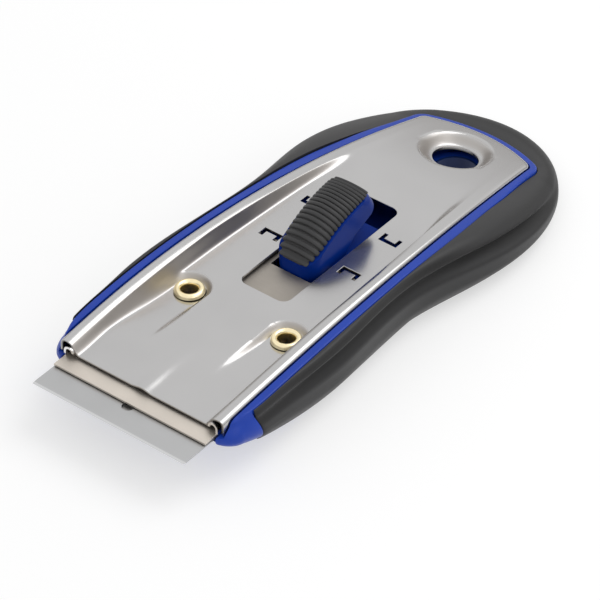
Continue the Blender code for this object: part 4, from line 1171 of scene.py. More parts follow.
def copies_tree(name):
    """Node group that sets copies of a template along a line, each in the middle of its stretch."""
    group = bpy.data.node_groups.new(name, "GeometryNodeTree")
    for kind, labels in (
        ("NodeSocketObject", ("Template",)),
        ("NodeSocketMaterial", ("Finish",)),
        ("NodeSocketInt", ("Count",)),
        ("NodeSocketVector", ("Start", "End")),
        ("NodeSocketFloat", ("Tilt", "Bulge", "Crowding", "Crowned", "Crest", "Crown Power")),
        ("NodeSocketFloat", ("Front Width", "Rear Width", "Front Share", "Rear Share")),
    ):
        for label in labels:
            group.interface.new_socket(label, in_out="INPUT", socket_type=kind)
    group.interface.new_socket("Geometry", in_out="OUTPUT", socket_type="NodeSocketGeometry")
    book = NodeBook(group)
    entry = group.nodes.new("NodeGroupInput")
    given = {socket.name: Value(book, socket) for socket in entry.outputs if socket.name}
    even = (book.node("GeometryNodeInputIndex") + 0.5) / given["Count"]
    share = even * (1.0 + given["Crowding"] * (1.0 - even))
    stretch = 1.0 + given["Crowding"] * (1.0 - 2.0 * even)
    from_crest = (share - given["Crest"]) / given["Crest"]
    crown = (1.0 - from_crest * from_crest).highest(0.0) ** given["Crown Power"]
    from_end = (share / given["Front Share"]).lowest((1.0 - share) / given["Rear Share"]).lowest(1.0)
    bulge = (1.0 - (1.0 - from_end) * (1.0 - from_end)) ** 0.5
    behind = given["Crest"].below(share)
    narrow = given["Front Width"] + (given["Rear Width"] - given["Front Width"]) * behind
    width = narrow + (1.0 - narrow) * bulge
    tall = 1.0 + (crown - 1.0) * given["Crowned"]
    wide = 1.0 + (width - 1.0) * given["Crowned"]
    scale = book.node("ShaderNodeCombineXYZ", None, {"X": wide, "Y": stretch, "Z": tall})
    turn = book.node("ShaderNodeCombineXYZ", None, {"X": given["Tilt"], "Y": 0.0, "Z": 0.0})
    template = book.node("GeometryNodeObjectInfo", None, {"Object": given["Template"]}, output="Geometry")
    lift = given["Bulge"] * 4.0 * share * (1.0 - share)
    back = book.node("ShaderNodeMath", {"operation": "SINE"}, {0: given["Tilt"]})
    up = book.node("ShaderNodeMath", {"operation": "COSINE"}, {0: given["Tilt"]})
    offset = book.node("ShaderNodeCombineXYZ", None, {"X": 0.0, "Y": 0.0 - lift * back, "Z": lift * up})
    on_line = book.node(
        "ShaderNodeMix", {"data_type": "VECTOR"}, {0: share, 4: given["Start"], 5: given["End"]}, output=1
    )
    spot = book.node("ShaderNodeVectorMath", {"operation": "ADD"}, {0: on_line, 1: offset})
    points = book.node("GeometryNodePoints", None, {"Count": given["Count"], "Position": spot})
    placed = book.node(
        "GeometryNodeInstanceOnPoints", None,
        {"Points": points, "Instance": template, "Rotation": turn, "Scale": scale},
    )
    solid = book.node("GeometryNodeRealizeInstances", None, {"Geometry": placed})
    coated = book.node("GeometryNodeSetMaterial", None, {"Geometry": solid, "Material": given["Finish"]})
    outlet = group.nodes.new("NodeGroupOutput")
    group.links.new(coated.socket, outlet.inputs[0])
    return group


def copies(name, template, **inputs):
    """Plain mesh object of a template's copies; inputs are the node group's, with underscores for spaces."""
    group = copies_tree(name + "_layout")
    item = bpy.data.objects.new(name, bpy.data.meshes.new(name))
    bpy.context.scene.collection.objects.link(item)
    modifier = item.modifiers.new("Copies", "NODES")
    modifier.node_group = group
    inputs["Template"] = template
    named = {key.replace("_", " "): value for key, value in inputs.items()}
    for socket in group.interface.items_tree:
        if socket.in_out == "INPUT" and socket.name in named:
            modifier[socket.identifier] = named[socket.name]
    settle(item)
    bpy.data.objects.remove(template, do_unlink=True)
    return item


class SCRAPER_OT_eyelets(bpy.types.Operator):
    """Make the two brass eyelets"""
    bl_idname = "scraper.eyelets"
    bl_label = "Eyelets"

    def execute(self, context):
        settings = context.scene.scraper
        eyelet = settings.eyelet
        seat = EYELET_FIT - settings.plate.pocket_depth
        middle = (eyelet.bore + eyelet.ring) / 2
        half = (eyelet.ring - eyelet.bore) / 2
        barrel = eyelet.bore + EYELET_WALL
        profile = [(eyelet.bore, -EYELET_LENGTH), (barrel, -EYELET_LENGTH), (barrel, 0.0)]
        for turn in evenly(0.0, math.pi, 2 * CORNER_STEPS):
            profile.append((middle + half * math.cos(turn), eyelet.height * math.sin(turn)))
        shape = bmesh.new()
        lathe(shape, profile)
        template = to_object("eyelet_template", shape, None, Vector())
        # Each eyelet stands in the middle of its half of a line that is twice their spacing
        left, right = (DATUM + Vector((side * 2 * EYELET_X, EYELET_Y, seat)) for side in (-1, 1))
        item = copies(
            "brass_eyelets", template, Count=2, Finish=eyelet_brass(eyelet.brass), Start=left, End=right,
            Crest=1.0, Front_Share=1.0, Rear_Share=1.0,
        )
        smooth(item)
        fit(item, "handle", "eyelet_brass", "eyelet_left", "eyelet_right")
        return {"FINISHED"}


def side_rim(tray, y):
    """Width of the rim along the side: slim at the nose and the rear corner, broadest ahead of the palm."""
    return tray.rim_width * eased(RIM_SHARES, y)


def rim_path(plate, tray, stations):
    """Outer edge of the rim's right half, from the stations along the side to the middle of the rear.

    Points are (x, y, normal x, normal y, width of the rim).
    """
    corner_turn = rear_normal(core_corner(plate)[0])
    narrow = side_rim(tray, plate.reach)
    path = []
    for x, y, across, along in side_path(plate, 0.0, stations) + rear_path(plate, 0.0):
        turned = smooth_step(math.atan2(along, across) / corner_turn)
        width = side_rim(tray, y) + (tray.rim_rear - narrow) * turned
        reach = tray.rim_gap + width
        path.append((x + across * reach, y + along * reach, across, along, width))
    return path


def rim_inset(width):
    """How far the tray's wall is drawn in under a rim of this width."""
    return max(width - RIM_WALL, RIM_WALL / 2)


def tray_path(plate, tray):
    """Right half of the tray's outline: round nose corner, side, rear corner and rear."""
    radius = tray.nose_corner
    centre_y = NOSE_FRONT + radius
    width = side_rim(tray, centre_y)
    centre_x = plate_half(plate, centre_y) + tray.rim_gap + width - radius
    path = []
    for turn in evenly(-QUARTER, 0.0, 2 * CORNER_STEPS)[:-1]:
        across, along = math.cos(turn), math.sin(turn)
        path.append((centre_x + radius * across, centre_y + radius * along, across, along, width))
    stations = evenly(centre_y, NOSE_REAR, CORNER_STEPS)
    stations += evenly(NOSE_REAR + HAIR, core_corner(plate)[1], SIDE_STEPS)[:-1]
    return path + rim_path(plate, tray, stations)


def nose_section(plate, y):
    """Outer profile of the nose: a rounded upper edge, a slight swell and a rounded foot."""
    top, foot = rim_top(plate, y), underside(y)
    edge = mix(RIM_EDGE, NOSE_EDGE, smooth_step((NOSE_REAR - y) / NOSE_REAR))
    section = arc(-edge, top - edge, edge, QUARTER, 0.0, RIM_EDGE_STEPS)
    for turn in spread(0.0, QUARTER, NOSE_STEPS):
        share = math.sin(turn)
        round_share = max(0.0, (share - NOSE_SHARE) / (1 - NOSE_SHARE))
        tuck = NOSE_TUCK * (1 - math.sqrt(max(0.0, 1 - round_share ** 2)))
        swell = NOSE_SWELL * math.sin(math.pi * share)
        section.append((swell - tuck, mix(top - edge, foot, share)))
    return section


def tray_section(plate, tray, point):
    """Outer profile of the tray from its rim down: full at the nose, drawn in under the grip."""
    y = point[1]
    if y <= NOSE_REAR:
        return nose_section(plate, y)
    top, foot = rim_top(plate, y), underside(y)
    rim = arc(-RIM_EDGE, top - RIM_EDGE, RIM_EDGE, QUARTER, 0.0, RIM_EDGE_STEPS)
    step, inset = top - tray.rim_height, rim_inset(point[4])
    wall = [(0.0, step + RIM_EDGE / 2), (-RIM_EDGE / 2, step), (-inset, step)]
    shares = spread(0.0, 1.0, NOSE_STEPS - len(wall))
    return rim + wall + [(-inset - TRAY_DRAFT * share, mix(step, foot, share)) for share in shares]


def lean(shape, plate):
    """Lean the joint between nose and grip, whose upper end is further forward."""
    for vertex in shape.verts:
        x, y, z = vertex.co
        near = smooth_step(1 - abs(y - GRIP_FRONT) / LEAN_REACH)
        high = clamp((z - LEAN_FOOT) / (LEAN_TOP - LEAN_FOOT))
        moved = y - JOINT_LEAN * near * high
        vertex.co = (x, moved, z + (arch(plate, moved) - arch(plate, y)) * high)


def tray_rounds(plate, eyelet):
    """Bosses under the eyelets and tube of the hang hole: (x, y, bore, wall, top, foot of the bore)."""
    hang_y = plate.reach - HANG_SETBACK
    slope = (hang_y - plate.arch_crest) / plate.arch_radius
    dish_foot = arch(plate, hang_y) - plate.dish_depth - plate.sheet
    tube_top = dish_foot - plate.hang_radius * slope - TUBE_WALL
    boss_top = -plate.pocket_depth - plate.sheet - SEAT_GAP
    bore = eyelet.bore + EYELET_WALL + EYELET_FIT
    floor_top = TRAY_FLOOR - DATUM.z
    rounds = [(side * EYELET_X, EYELET_Y, bore, BOSS_WALL, boss_top, floor_top) for side in (-1, 1)]
    return rounds + [(0.0, hang_y, plate.hang_radius, TUBE_WALL, tube_top, -2 * DATUM.z)]


def tray_hollows(plate, tray, over):
    """Rebate for the plate, cavity for the carriage and mouth for the blade, all open upwards."""
    floor_top = TRAY_FLOOR - DATUM.z
    ahead = BLADE_LOW.y - DATUM.y
    blade_half = BLADE_HIGH.x + RUN_CLEARANCE
    rebate, cavity, mouth = bmesh.new(), bmesh.new(), bmesh.new()
    seat = flat_walled(lambda y: arch(plate, y) - SKIRT_DEPTH - SEAT_GAP, lambda y: over)
    symmetric_solid(rebate, half_path(plate, tray.rim_gap, ahead), seat)
    hollow = flat_walled(lambda y: max(floor_top, underside(y) + TRAY_FLOOR), lambda y: over)
    symmetric_solid(cavity, half_path(plate, blade_half - plate.half, NOSE_FRONT + CHIN_WALL), hollow)
    box(mouth, (-blade_half, blade_half), (ahead, NOSE_FRONT + 2 * CHIN_WALL), (CHIN_TOP, over))
    return rebate, cavity, mouth


class SCRAPER_OT_tray(bpy.types.Operator):
    """Make the moulded tray"""
    bl_idname = "scraper.tray"
    bl_label = "Tray"

    def execute(self, context):
        settings = context.scene.scraper
        plate, tray = settings.plate, settings.tray
        shape = bmesh.new()
        symmetric_solid(shape, tray_path(plate, tray), lambda point: tray_section(plate, tray, point))
        lean(shape, plate)
        # The hang hole's bore is painted darker inside as shade.
        shaded_bore = (0.0, plate.reach - HANG_SETBACK + DATUM.y, plate.hang_radius + TUBE_WALL / 4)
        finish = moulded_blue("tray_blue", tray.blue, gloss=0.26, shine=0.30, bore=shaded_bore)
        item = to_object("moulded_tray", shape, finish)
        over = 2 * ARCH_HEIGHT
        for hollow in tray_hollows(plate, tray, over):
            carve(item, hollow, "DIFFERENCE")
        posts, bores = bmesh.new(), bmesh.new()
        for x, y, radius, wall, top, bottom in tray_rounds(plate, settings.eyelet):
            post, hole = circle(x, y, radius + wall), circle(x, y, radius)
            prism(posts, (post, TRAY_FLOOR / 2 - DATUM.z), (post, top))
            prism(bores, (hole, bottom), (hole, over))
        carve(item, posts, "UNION")
        carve(item, bores, "DIFFERENCE")
        smooth(item)
        fit(item, "handle", "tray_blue", "tray")
        return {"FINISHED"}


def grip_side(plate, tray, grip, y):
    """Half width of the grip ahead of the palm: front, belly, waist, palm."""
    front_half = plate_half(plate, GRIP_FRONT) + tray.rim_gap + side_rim(tray, GRIP_FRONT) + GRIP_FRONT_STEP
    stations = ((GRIP_FRONT, front_half), (GRIP_BELLY_Y, grip.belly_half))
    stations += ((GRIP_WAIST_Y, grip.waist_half), (GRIP_PALM_Y, grip.palm_half))
    return eased(stations, y)


def grip_reach(plate, tray, grip, point):
    """Distance from a point on the tray's rim outwards to the grip's widest line.

    Behind the palm that line is half an ellipse, and the distance solves its equation.
    """
    x, y, across, along = point[:4]
    if y <= GRIP_PALM_Y:
        return grip_side(plate, tray, grip, y) - x
    depth = plate.reach + grip.rear_margin - GRIP_PALM_Y
    u, v = x / grip.palm_half, (y - GRIP_PALM_Y) / depth
    p, q = across / grip.palm_half, along / depth
    a, b, c = p * p + q * q, u * p + v * q, u * u + v * v - 1
    return (math.sqrt(b * b - a * c) - b) / a


def through(points, steps):
    """Smooth curve through points, each span in the given number of steps."""
    padded = [points[0]] + list(points) + [points[-1]]
    curve = [points[0]]
    for before, start, end, after in zip(padded, padded[1:], padded[2:], padded[3:]):
        for t in spread(0.0, 1.0, steps):
            spot = []
            for a, b, c, d in zip(before, start, end, after):
                bend = (c - a) + t * (2 * a - 5 * b + 4 * c - d + t * (3 * b - a - 3 * c + d))
                spot.append(b + t * bend / 2)
            curve.append(tuple(spot))
    return curve


def palm_share(reach):
    """0 where the grip is slim as at its waist, 1 where it is broad as at the palm."""
    return smooth_step((reach - GROOVE_WAIST_REACH) / (GROOVE_PALM_REACH - GROOVE_WAIST_REACH))


def groove_depth(y, reach):
    """Depth of the groove along the grip's side: shallow at the front, gone at the rear."""
    from_front = smooth_step((y - GRIP_FRONT) / GROOVE_FRONT_LENGTH)
    to_rear = 1 - smooth_step((y - GROOVE_FADE_START) / GROOVE_FADE_LENGTH)
    depth = GROOVE_DEPTH * mix(GROOVE_WAIST_SHARE, 1.0, palm_share(reach))
    return depth * mix(GROOVE_FRONT_SHARE, 1.0, from_front) * to_rear


def groove_hollow(share):
    """1 in the middle of the groove, 0 outside it."""
    from_middle = min(abs(share - GROOVE_MIDDLE) / GROOVE_HALF, 1.0)
    return math.cos(QUARTER * from_middle) ** 2


def grip_dust_and_painted_light(y, share, reach):
    """How pale the grip is painted at a height: painted shade in the groove and, where slim, above it;
    painted highlights on its lips and on the ledge beside the rim; dusty elsewhere.
    """
    depth = groove_depth(y, reach) / GROOVE_DEPTH
    lip = smooth_step(1 - abs(share - GROOVE_LIP) / GROOVE_HALF)
    clean = groove_hollow(share)
    # Painted shade under the rim where the grip is slim
    if share < GROOVE_MIDDLE:
        clean += (1 - clean) * (1 - palm_share(reach))
    dust_and_painted_light = PLAIN_DUST + depth * (lip * (1 - PLAIN_DUST) - clean * PLAIN_DUST)
    # Painted sheen on the ledge beside the rim
    return mix(dust_and_painted_light, LEDGE_PAINTED_SHEEN, smooth_step(1 - share / LEDGE_SHARE))


def grip_section(plate, tray, grip, point):
    """Closed (distance, z) section of the grip at one point of the tray's rim."""
    y = point[1]
    from_front = max(0.0, 1 - (y - GRIP_FRONT) / GRIP_FRONT_EDGE)
    drawn_in = GRIP_FRONT_EDGE * (1 - math.sqrt(1 - from_front ** 2)) / 2
    reach = max(grip_reach(plate, tray, grip, point) - drawn_in, 2 * GRIP_GAP)
    rim = rim_top(plate, y)
    top, foot = rim - eased(GRIP_TOP_STEPS, y), underside(y) + GRIP_LIFT
    step = rim - tray.rim_height - GRIP_GAP
    inner = GRIP_GAP - rim_inset(point[4])
    inner_foot = inner - TRAY_DRAFT
    roundness = eased(GRIP_ROUNDNESS, y)
    face = []
    for turn in evenly(0.0, QUARTER, GRIP_FACE_STEPS):
        share = GRIP_WIDEST * (1 - abs(math.cos(turn)) ** roundness)
        out = mix(GRIP_GAP, reach, math.sin(turn) ** roundness)
        out -= groove_depth(y, reach) * groove_hollow(share)
        z = mix(top, foot, share)
        beside_rim = GRIP_GAP + min(GRIP_SKIN, (top - z) / 2)
        face.append((max(out, beside_rim if z > step else inner + GRIP_FOOT), z))
    tuck = mix(NOSE_TUCK, grip.tuck, smooth_step((y - GRIP_FRONT) / TUCK_LENGTH))
    tuck = min(tuck, reach - inner_foot - GRIP_FOOT)
    lower = [face[-1]]
    lower += [(reach - tuck * inward, mix(top, foot, height)) for inward, height in TUCKED_FACE]
    return face + through(lower, TUCK_STEPS)[1:] + [(inner_foot, foot), (inner, step), (GRIP_GAP, step)]


class SCRAPER_OT_grip(bpy.types.Operator):
    """Make the soft grip"""
    bl_idname = "scraper.grip"
    bl_label = "Grip"

    def execute(self, context):
        settings = context.scene.scraper
        plate, tray, grip = settings.plate, settings.tray, settings.grip
        turns = evenly(0.0, QUARTER, GRIP_EDGE_STEPS)
        stations = [GRIP_FRONT + GRIP_FRONT_EDGE * (1 - math.cos(turn)) for turn in turns]
        stations += spread(stations[-1], core_corner(plate)[1], SIDE_STEPS)[:-1]
        right = rim_path(plate, tray, stations)
        path = right + [(-x, y, -across, along, width) for x, y, across, along, width in reversed(right[:-1])]
        shape = bmesh.new()
        rings, dust_and_painted_light = [], []
        for x, y, across, along, width in path:
            section = grip_section(plate, tray, grip, (abs(x), y, abs(across), along, width))
            rings.append([shape.verts.new((x + across * out, y + along * out, z)) for out, z in section])
            top, foot = section[0][1], underside(y) + GRIP_LIFT
            reach = max(out for out, z in section)
            # Each vertex stores its paleness: an even dustiness with painted shade and painted highlights.
            dust_and_painted_light += [grip_dust_and_painted_light(y, (z - top) / (foot - top), reach) for out, z in section]
        skin(shape, rings)
        lean(shape, plate)
        item = to_object("soft_grip", shape, soft_charcoal("grip_charcoal", grip.charcoal))
        item.data.attributes.new("dust_and_painted_light", "FLOAT", "POINT").data.foreach_set("value", dust_and_painted_light)
        smooth(item)
        fit(item, "handle", "grip_rubber", "grip")
        return {"FINISHED"}


def dressed_copy(node, material, edge):
    """Copy of a CAD node with merged vertices and softened edges."""
    shape = bmesh.new()
    shape.from_mesh(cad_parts[node].data)
    bmesh.ops.remove_doubles(shape, verts=shape.verts, dist=MERGE)
    bmesh.ops.dissolve_limit(shape, angle_limit=FLAT_ANGLE, verts=shape.verts, edges=shape.edges)
    item = to_object("finished_" + node, shape, None, Vector())
    item.data.materials.clear()
    item.data.materials.append(material)
    bevel = item.modifiers.new("Edge", "BEVEL")
    bevel.width = edge
    bevel.segments = 1
    bevel.limit_method = "ANGLE"
    bevel.angle_limit = SMOOTH_ANGLE
    settle(item)
    return item


def jaw_tongue():
    """Round tongue of the jaw under the blade's hole."""
    shape = bmesh.new()
    top = BLADE_LOW.z - DATUM.z - LIP_GAP
    hole_y = BLADE_LOW.y - DATUM.y + HOLE_SETBACK
    outline = arc(0.0, hole_y, TONGUE_RADIUS, -2 * QUARTER, 0.0, 2 * CORNER_STEPS)
    outline += [(TONGUE_RADIUS, hole_y + TONGUE_RADIUS), (-TONGUE_RADIUS, hole_y + TONGUE_RADIUS)]
    prism(shape, (outline, top - TONGUE_THICKNESS), (outline, top))
    return shape


def rail_hook(shape, side):
    """Front end of one of the carrier's rails: its edge turned up and curled inwards inside the bead."""
    base = BLADE_HIGH.z - DATUM.z + LIP_GAP + HOOK_SHEET
    radius = HOOK_WIDTH / 2
    centre_x, centre_z = HOOK_OUTER - radius, HOOK_TOP - radius
    profile = [(HOOK_OUTER, base)]
    profile += arc(centre_x, centre_z, radius, 0.0, 2 * QUARTER, 2 * CORNER_STEPS)
    profile += arc(centre_x, centre_z, radius - HOOK_SHEET, 2 * QUARTER, 0.0, 2 * CORNER_STEPS)
    profile.append((HOOK_OUTER - HOOK_SHEET, base))
    rings = []
    for y in (HOOK_FRONT, HOOK_REAR):
        rings.append([shape.verts.new((side * x, y, z)) for x, z in profile])
    bridge(shape, *rings)
    for i in range(len(profile) // 2 - 1):
        for ring in rings:
            shape.faces.new((ring[i], ring[i + 1], ring[-2 - i], ring[-1 - i]))


class SCRAPER_OT_carriage(bpy.types.Operator):
    """Finish the blade, its carrier and the parts that hold it"""
    bl_idname = "scraper.carriage"
    bl_label = "Blade Carriage"

    def execute(self, context):
        finish = context.scene.scraper.carriage
        hidden = plain_steel("hidden_steel", finish.hidden, gloss=0.34)
        pieces = (
            ("blade_carrier", "carrier_steel", carrier_sheet(finish.carrier)),
            ("blade", "blade_steel", ground_blade(finish.blade)),
            ("blade_spine", "spine_steel", hidden),
            ("blade_jaw", "jaw_steel", hidden),
            ("jaw_rivet_left", "rivet_steel", hidden),
            ("jaw_rivet_right", "rivet_steel", hidden),
        )
        for node, slot, material in pieces:
            share = BLADE_EDGE_SHARE if node == "blade" else 1.0
            item = dressed_copy(node, material, finish.edge * share)
            if node == "blade_jaw":
                carve(item, jaw_tongue(), "UNION")
            fit(item, "carriage", slot, node)
        hooks = bmesh.new()
        for side in (-1, 1):
            rail_hook(hooks, side)
        # Painted highlight: the rails' hooks get a brighter steel than the carrier sheet they are part of.
        item = to_object("rail_hooks", hooks, plain_steel("lit_hook_steel", finish.lit_hook, gloss=0.12))
        smooth(item)
        fit(item, "carriage", "carrier_steel", "blade_carrier")
        return {"FINISHED"}


def deck_point(slider, along, above):
    """Point (y, z) on the slider's sloping deck, or above it."""
    y = SLIDER_FRONT + along * math.cos(slider.slope) - above * math.sin(slider.slope)
    z = slider.front_height + along * math.sin(slider.slope) + above * math.cos(slider.slope)
    return y, z


def deck_rise(slider, along):
    """Rise of the bulged deck over its straight line."""
    share = along / slider.deck
    return slider.bulge * 4 * share * (1 - share)


def pad_length(slider):
    """Length of the pad along the deck."""
    return slider.deck - PAD_FRONT_INSET - PAD_REAR_INSET


def rounded_corners(corners, radii):
    """Closed outline with an arc at each corner that has a radius."""
    outline = []
    count = len(corners)
    for i, radius in enumerate(radii):
        spot, before, after = Vector(corners[i]), Vector(corners[i - 1]), Vector(corners[(i + 1) % count])
        if not radius:
            outline.append(tuple(spot))
            continue
        back, ahead = (before - spot).normalized(), (after - spot).normalized()
        half_turn = back.angle(ahead) / 2
        start, end = (spot + way * (radius / math.tan(half_turn)) for way in (back, ahead))
        centre = spot + (back + ahead).normalized() * (radius / math.sin(half_turn))
        for share in evenly(0.0, 1.0, BEND_STEPS):
            way = (start - centre).slerp(end - centre, share)
            outline.append(tuple(centre + way * radius))
    return outline


def round_inset(radius, from_side):
    """Inset of a rounded corner at a distance from the side."""
    short = max(0.0, radius - from_side)
    return radius - math.sqrt(max(0.0, radius ** 2 - short ** 2))


def slider_stations(slider):
    """Places across the slider as (x, front inset, rear inset, edge inset), round at corners and edges."""
    right = []
    radii = (slider.corner, slider.rear_corner, SLIDER_EDGE)
    for turn in evenly(0.0, QUARTER, SLIDER_STEPS):
        from_side = slider.corner * (1 - math.sin(turn))
        right.append((slider.half - from_side, *(round_inset(radius, from_side) for radius in radii)))
    return [(-station[0], *station[1:]) for station in reversed(right)] + right


def slider_slice(slider, sheet, front, rear, edge):
    """Closed (y, z) outline of an upright slice, drawn in by the insets of its place across the slider."""
    neck_bottom = CARRIER_TOP - FLANGE_THICKNESS - NECK_FOOT
    neck_rear = SLIDER_FRONT + NECK_LENGTH
    deck_start = front / math.cos(slider.slope)
    deck_end = slider.deck - rear
    corners = [(SLIDER_FRONT + front, neck_bottom)]
    for along in evenly(deck_start, deck_end, DECK_STEPS):
        corners.append(deck_point(slider, along, deck_rise(slider, along) - edge))
    below = SLIDER_TAIL_THICKNESS - edge
    tail = deck_end + SLIDER_TAIL
    corners.append(deck_point(slider, tail, -SLIDER_TAIL_NOSE * SLIDER_TAIL_THICKNESS))
    corners.append(deck_point(slider, tail - SLIDER_TAIL_UNDERCUT, -below))
    corners.append(deck_point(slider, NECK_LENGTH + NECK_BLEND, -below))
    corners += [(neck_rear - edge, -sheet), (neck_rear - edge, neck_bottom)]
    radii = [0.0, SLIDER_FRONT_ROUND] + [0.0] * (DECK_STEPS - 1) + list(SLIDER_REAR_ROUNDS)
    return rounded_corners(corners, radii)


class SCRAPER_OT_thumb_slider(bpy.types.Operator):
    """Make the thumb slider"""
    bl_idname = "scraper.thumb_slider"
    bl_label = "Thumb Slider"

    def execute(self, context):
        settings = context.scene.scraper
        slider = settings.slider
        flange_bottom = CARRIER_TOP - FLANGE_THICKNESS
        shape = bmesh.new()
        rings = []
        for x, front, rear, edge in slider_stations(slider):
            outline = slider_slice(slider, settings.plate.sheet, front, rear, edge)
            rings.append([shape.verts.new((x, y, z)) for y, z in outline])
        skin(shape, rings)
        finish = moulded_blue("slider_blue", slider.blue, gloss=0.22, shine=0.06)
        item = to_object("blue_slider", shape, finish)
        lower = bmesh.new()
        flange_y = (FLANGE_FRONT, FLANGE_FRONT + FLANGE_LENGTH)
        box(lower, (-FLANGE_HALF, FLANGE_HALF), flange_y, (flange_bottom, CARRIER_TOP))
        foot_half = slider.half - slider.rear_corner
        foot_y = (SLIDER_FRONT - FOOT_LENGTH, SLIDER_FRONT + FOOT_LENGTH)
        foot_z = (FOOT_MIDDLE - FOOT_THICKNESS / 2, FOOT_MIDDLE + FOOT_THICKNESS / 2)
        box(lower, (-foot_half, foot_half), foot_y, foot_z)
        carve(item, lower, "UNION")
        smooth(item)
        for face in item.data.polygons:
            face.use_smooth = abs(face.normal.x) < FLAT_SIDE
        fit(item, "thumb", "slider_blue", "thumb_slider")
        return {"FINISHED"}


def dome(half, height):
    """Open (x, z) line of the pad's rounded section, from its right foot to its left foot."""
    line = []
    for turn in evenly(0.0, math.pi, PAD_STEPS):
        across = math.copysign(abs(math.cos(turn)) ** (2 / PAD_BULGE), math.cos(turn))
        line.append((half * across, height * abs(math.sin(turn)) ** (2 / PAD_BULGE)))
    return line


def pad_core(slider):
    """Body of the pad under its ribs, up to the grooves' floor."""
    shape = bmesh.new()
    rings = []
    for share in evenly(0.0, 1.0, PAD_RINGS):
        from_crest = (share - PAD_CREST_SHARE) / PAD_CREST_SHARE
        crown = slider.pad_height * max(0.0, 1 - from_crest ** 2) ** PAD_CROWN_POWER
        groove = mix(slider.groove_front, slider.groove_rear, share)
        from_end = min(1.0, share / PAD_FRONT_SHARE, (1 - share) / PAD_REAR_SHARE)
        bulge = math.sqrt(1 - (1 - from_end) ** 2)
        end_half = slider.pad_front_half if share < PAD_CREST_SHARE else slider.pad_rear_half
        half = mix(end_half, slider.pad_half, bulge) - groove
        ring = []
        along = PAD_FRONT_INSET + pad_length(slider) * share
        for x, up in dome(half, max(crown - groove, groove)):
            y, z = deck_point(slider, along, deck_rise(slider, along) + SEAT_GAP + up)
            ring.append(shape.verts.new((x, y, z)))
        rings.append(ring)
    skin(shape, rings)
    return shape


def rib_template(slider):
    """One rib: a slice of the pad's dome with a rounded rim, standing on the deck."""
    pitch = pad_length(slider) / slider.ribs
    shape = bmesh.new()
    rings = []
    for turn in evenly(-QUARTER, QUARTER, RIB_STEPS):
        shrink = slider.groove_front * (1 - abs(math.cos(turn)) ** RIB_ROUNDNESS)
        y = pitch * RIB_FILL * math.copysign(abs(math.sin(turn)) ** RIB_ROUNDNESS, turn)
        line = dome(slider.pad_half - shrink, slider.pad_height - shrink)
        rings.append([shape.verts.new((x, y, z)) for x, z in line])
    skin(shape, rings)
    return shape


class SCRAPER_OT_thumb_pad(bpy.types.Operator):
    """Make the ribbed pad on the slider"""
    bl_idname = "scraper.thumb_pad"
    bl_label = "Thumb Pad"

    def execute(self, context):
        slider = context.scene.scraper.slider
        finish = soft_charcoal("pad_charcoal", slider.charcoal)
        core = to_object("pad_core", pad_core(slider), finish)
        smooth(core)
        start = deck_point(slider, PAD_FRONT_INSET, SEAT_GAP)
        end = deck_point(slider, slider.deck - PAD_REAR_INSET, SEAT_GAP)
        template = to_object("rib_template", rib_template(slider), None, Vector())
        ribs = copies(
            "pad_ribs", template, Count=slider.ribs, Finish=finish, Tilt=slider.slope, Crowned=1.0,
            Start=DATUM + Vector((0.0, *start)), End=DATUM + Vector((0.0, *end)), Bulge=slider.bulge,
            Crest=PAD_CREST_SHARE, Crown_Power=PAD_CROWN_POWER, Crowding=RIB_CROWDING,
            Front_Share=PAD_FRONT_SHARE, Front_Width=slider.pad_front_half / slider.pad_half,
            Rear_Share=PAD_REAR_SHARE, Rear_Width=slider.pad_rear_half / slider.pad_half,
        )
        smooth(ribs)
        for item in (core, ribs):
            dust_and_painted_light = item.data.attributes.new("dust_and_painted_light", "FLOAT", "POINT").data
            dust_and_painted_light.foreach_set("value", [PAD_DUST] * len(dust_and_painted_light))
        fit(core, "thumb", "pad_rubber", "thumb_pad")
        fit(ribs, "thumb", "pad_rubber", "thumb_pad")
        return {"FINISHED"}


def lit_background(book):
    """1 for the rays that should see the plain background, else 0."""
    rays = ("Is Camera Ray", "Is Glossy Ray", "Is Transmission Ray")
    camera, glossy, through_glass = (book.node("ShaderNodeLightPath", output=ray) for ray in rays)
    return camera.highest(glossy).highest(through_glass)


def add_lamp(name, power, size, spot, target):
    """Soft square lamp that points at the tool."""
    lamp = bpy.data.lights.new(name, "AREA")
    lamp.energy = power
    lamp.size = size
    item = bpy.data.objects.new(name, lamp)
    item.location = spot
    item.rotation_euler = (target - Vector(spot)).to_track_quat("-Z", "Y").to_euler()
    bpy.context.scene.collection.objects.link(item)


def add_floor():
    """Wide pale floor that stays white to the camera and keeps the tool's shadow."""
    shape = bmesh.new()
    bmesh.ops.create_grid(shape, x_segments=1, y_segments=1, size=FLOOR_HALF)
    finish = Finish("pale_floor")
    finish.set(Base_Color=FLOOR_PALE, Roughness=FLOOR_ROUGHNESS, Specular_IOR_Level=0.0)
    matt = Value(finish, finish.shader.outputs[0])
    glow = finish.node("ShaderNodeEmission", None, {"Color": WHITE, "Strength": FLOOR_GLOW})
    share = FLOOR_GLOW_SHARE * lit_background(finish)
    finish.cover(finish.node("ShaderNodeMixShader", None, {0: share, 1: matt, 2: glow}))
    floor = to_object("floor", shape, finish.material, Vector((0.0, 0.0, -TINY)))


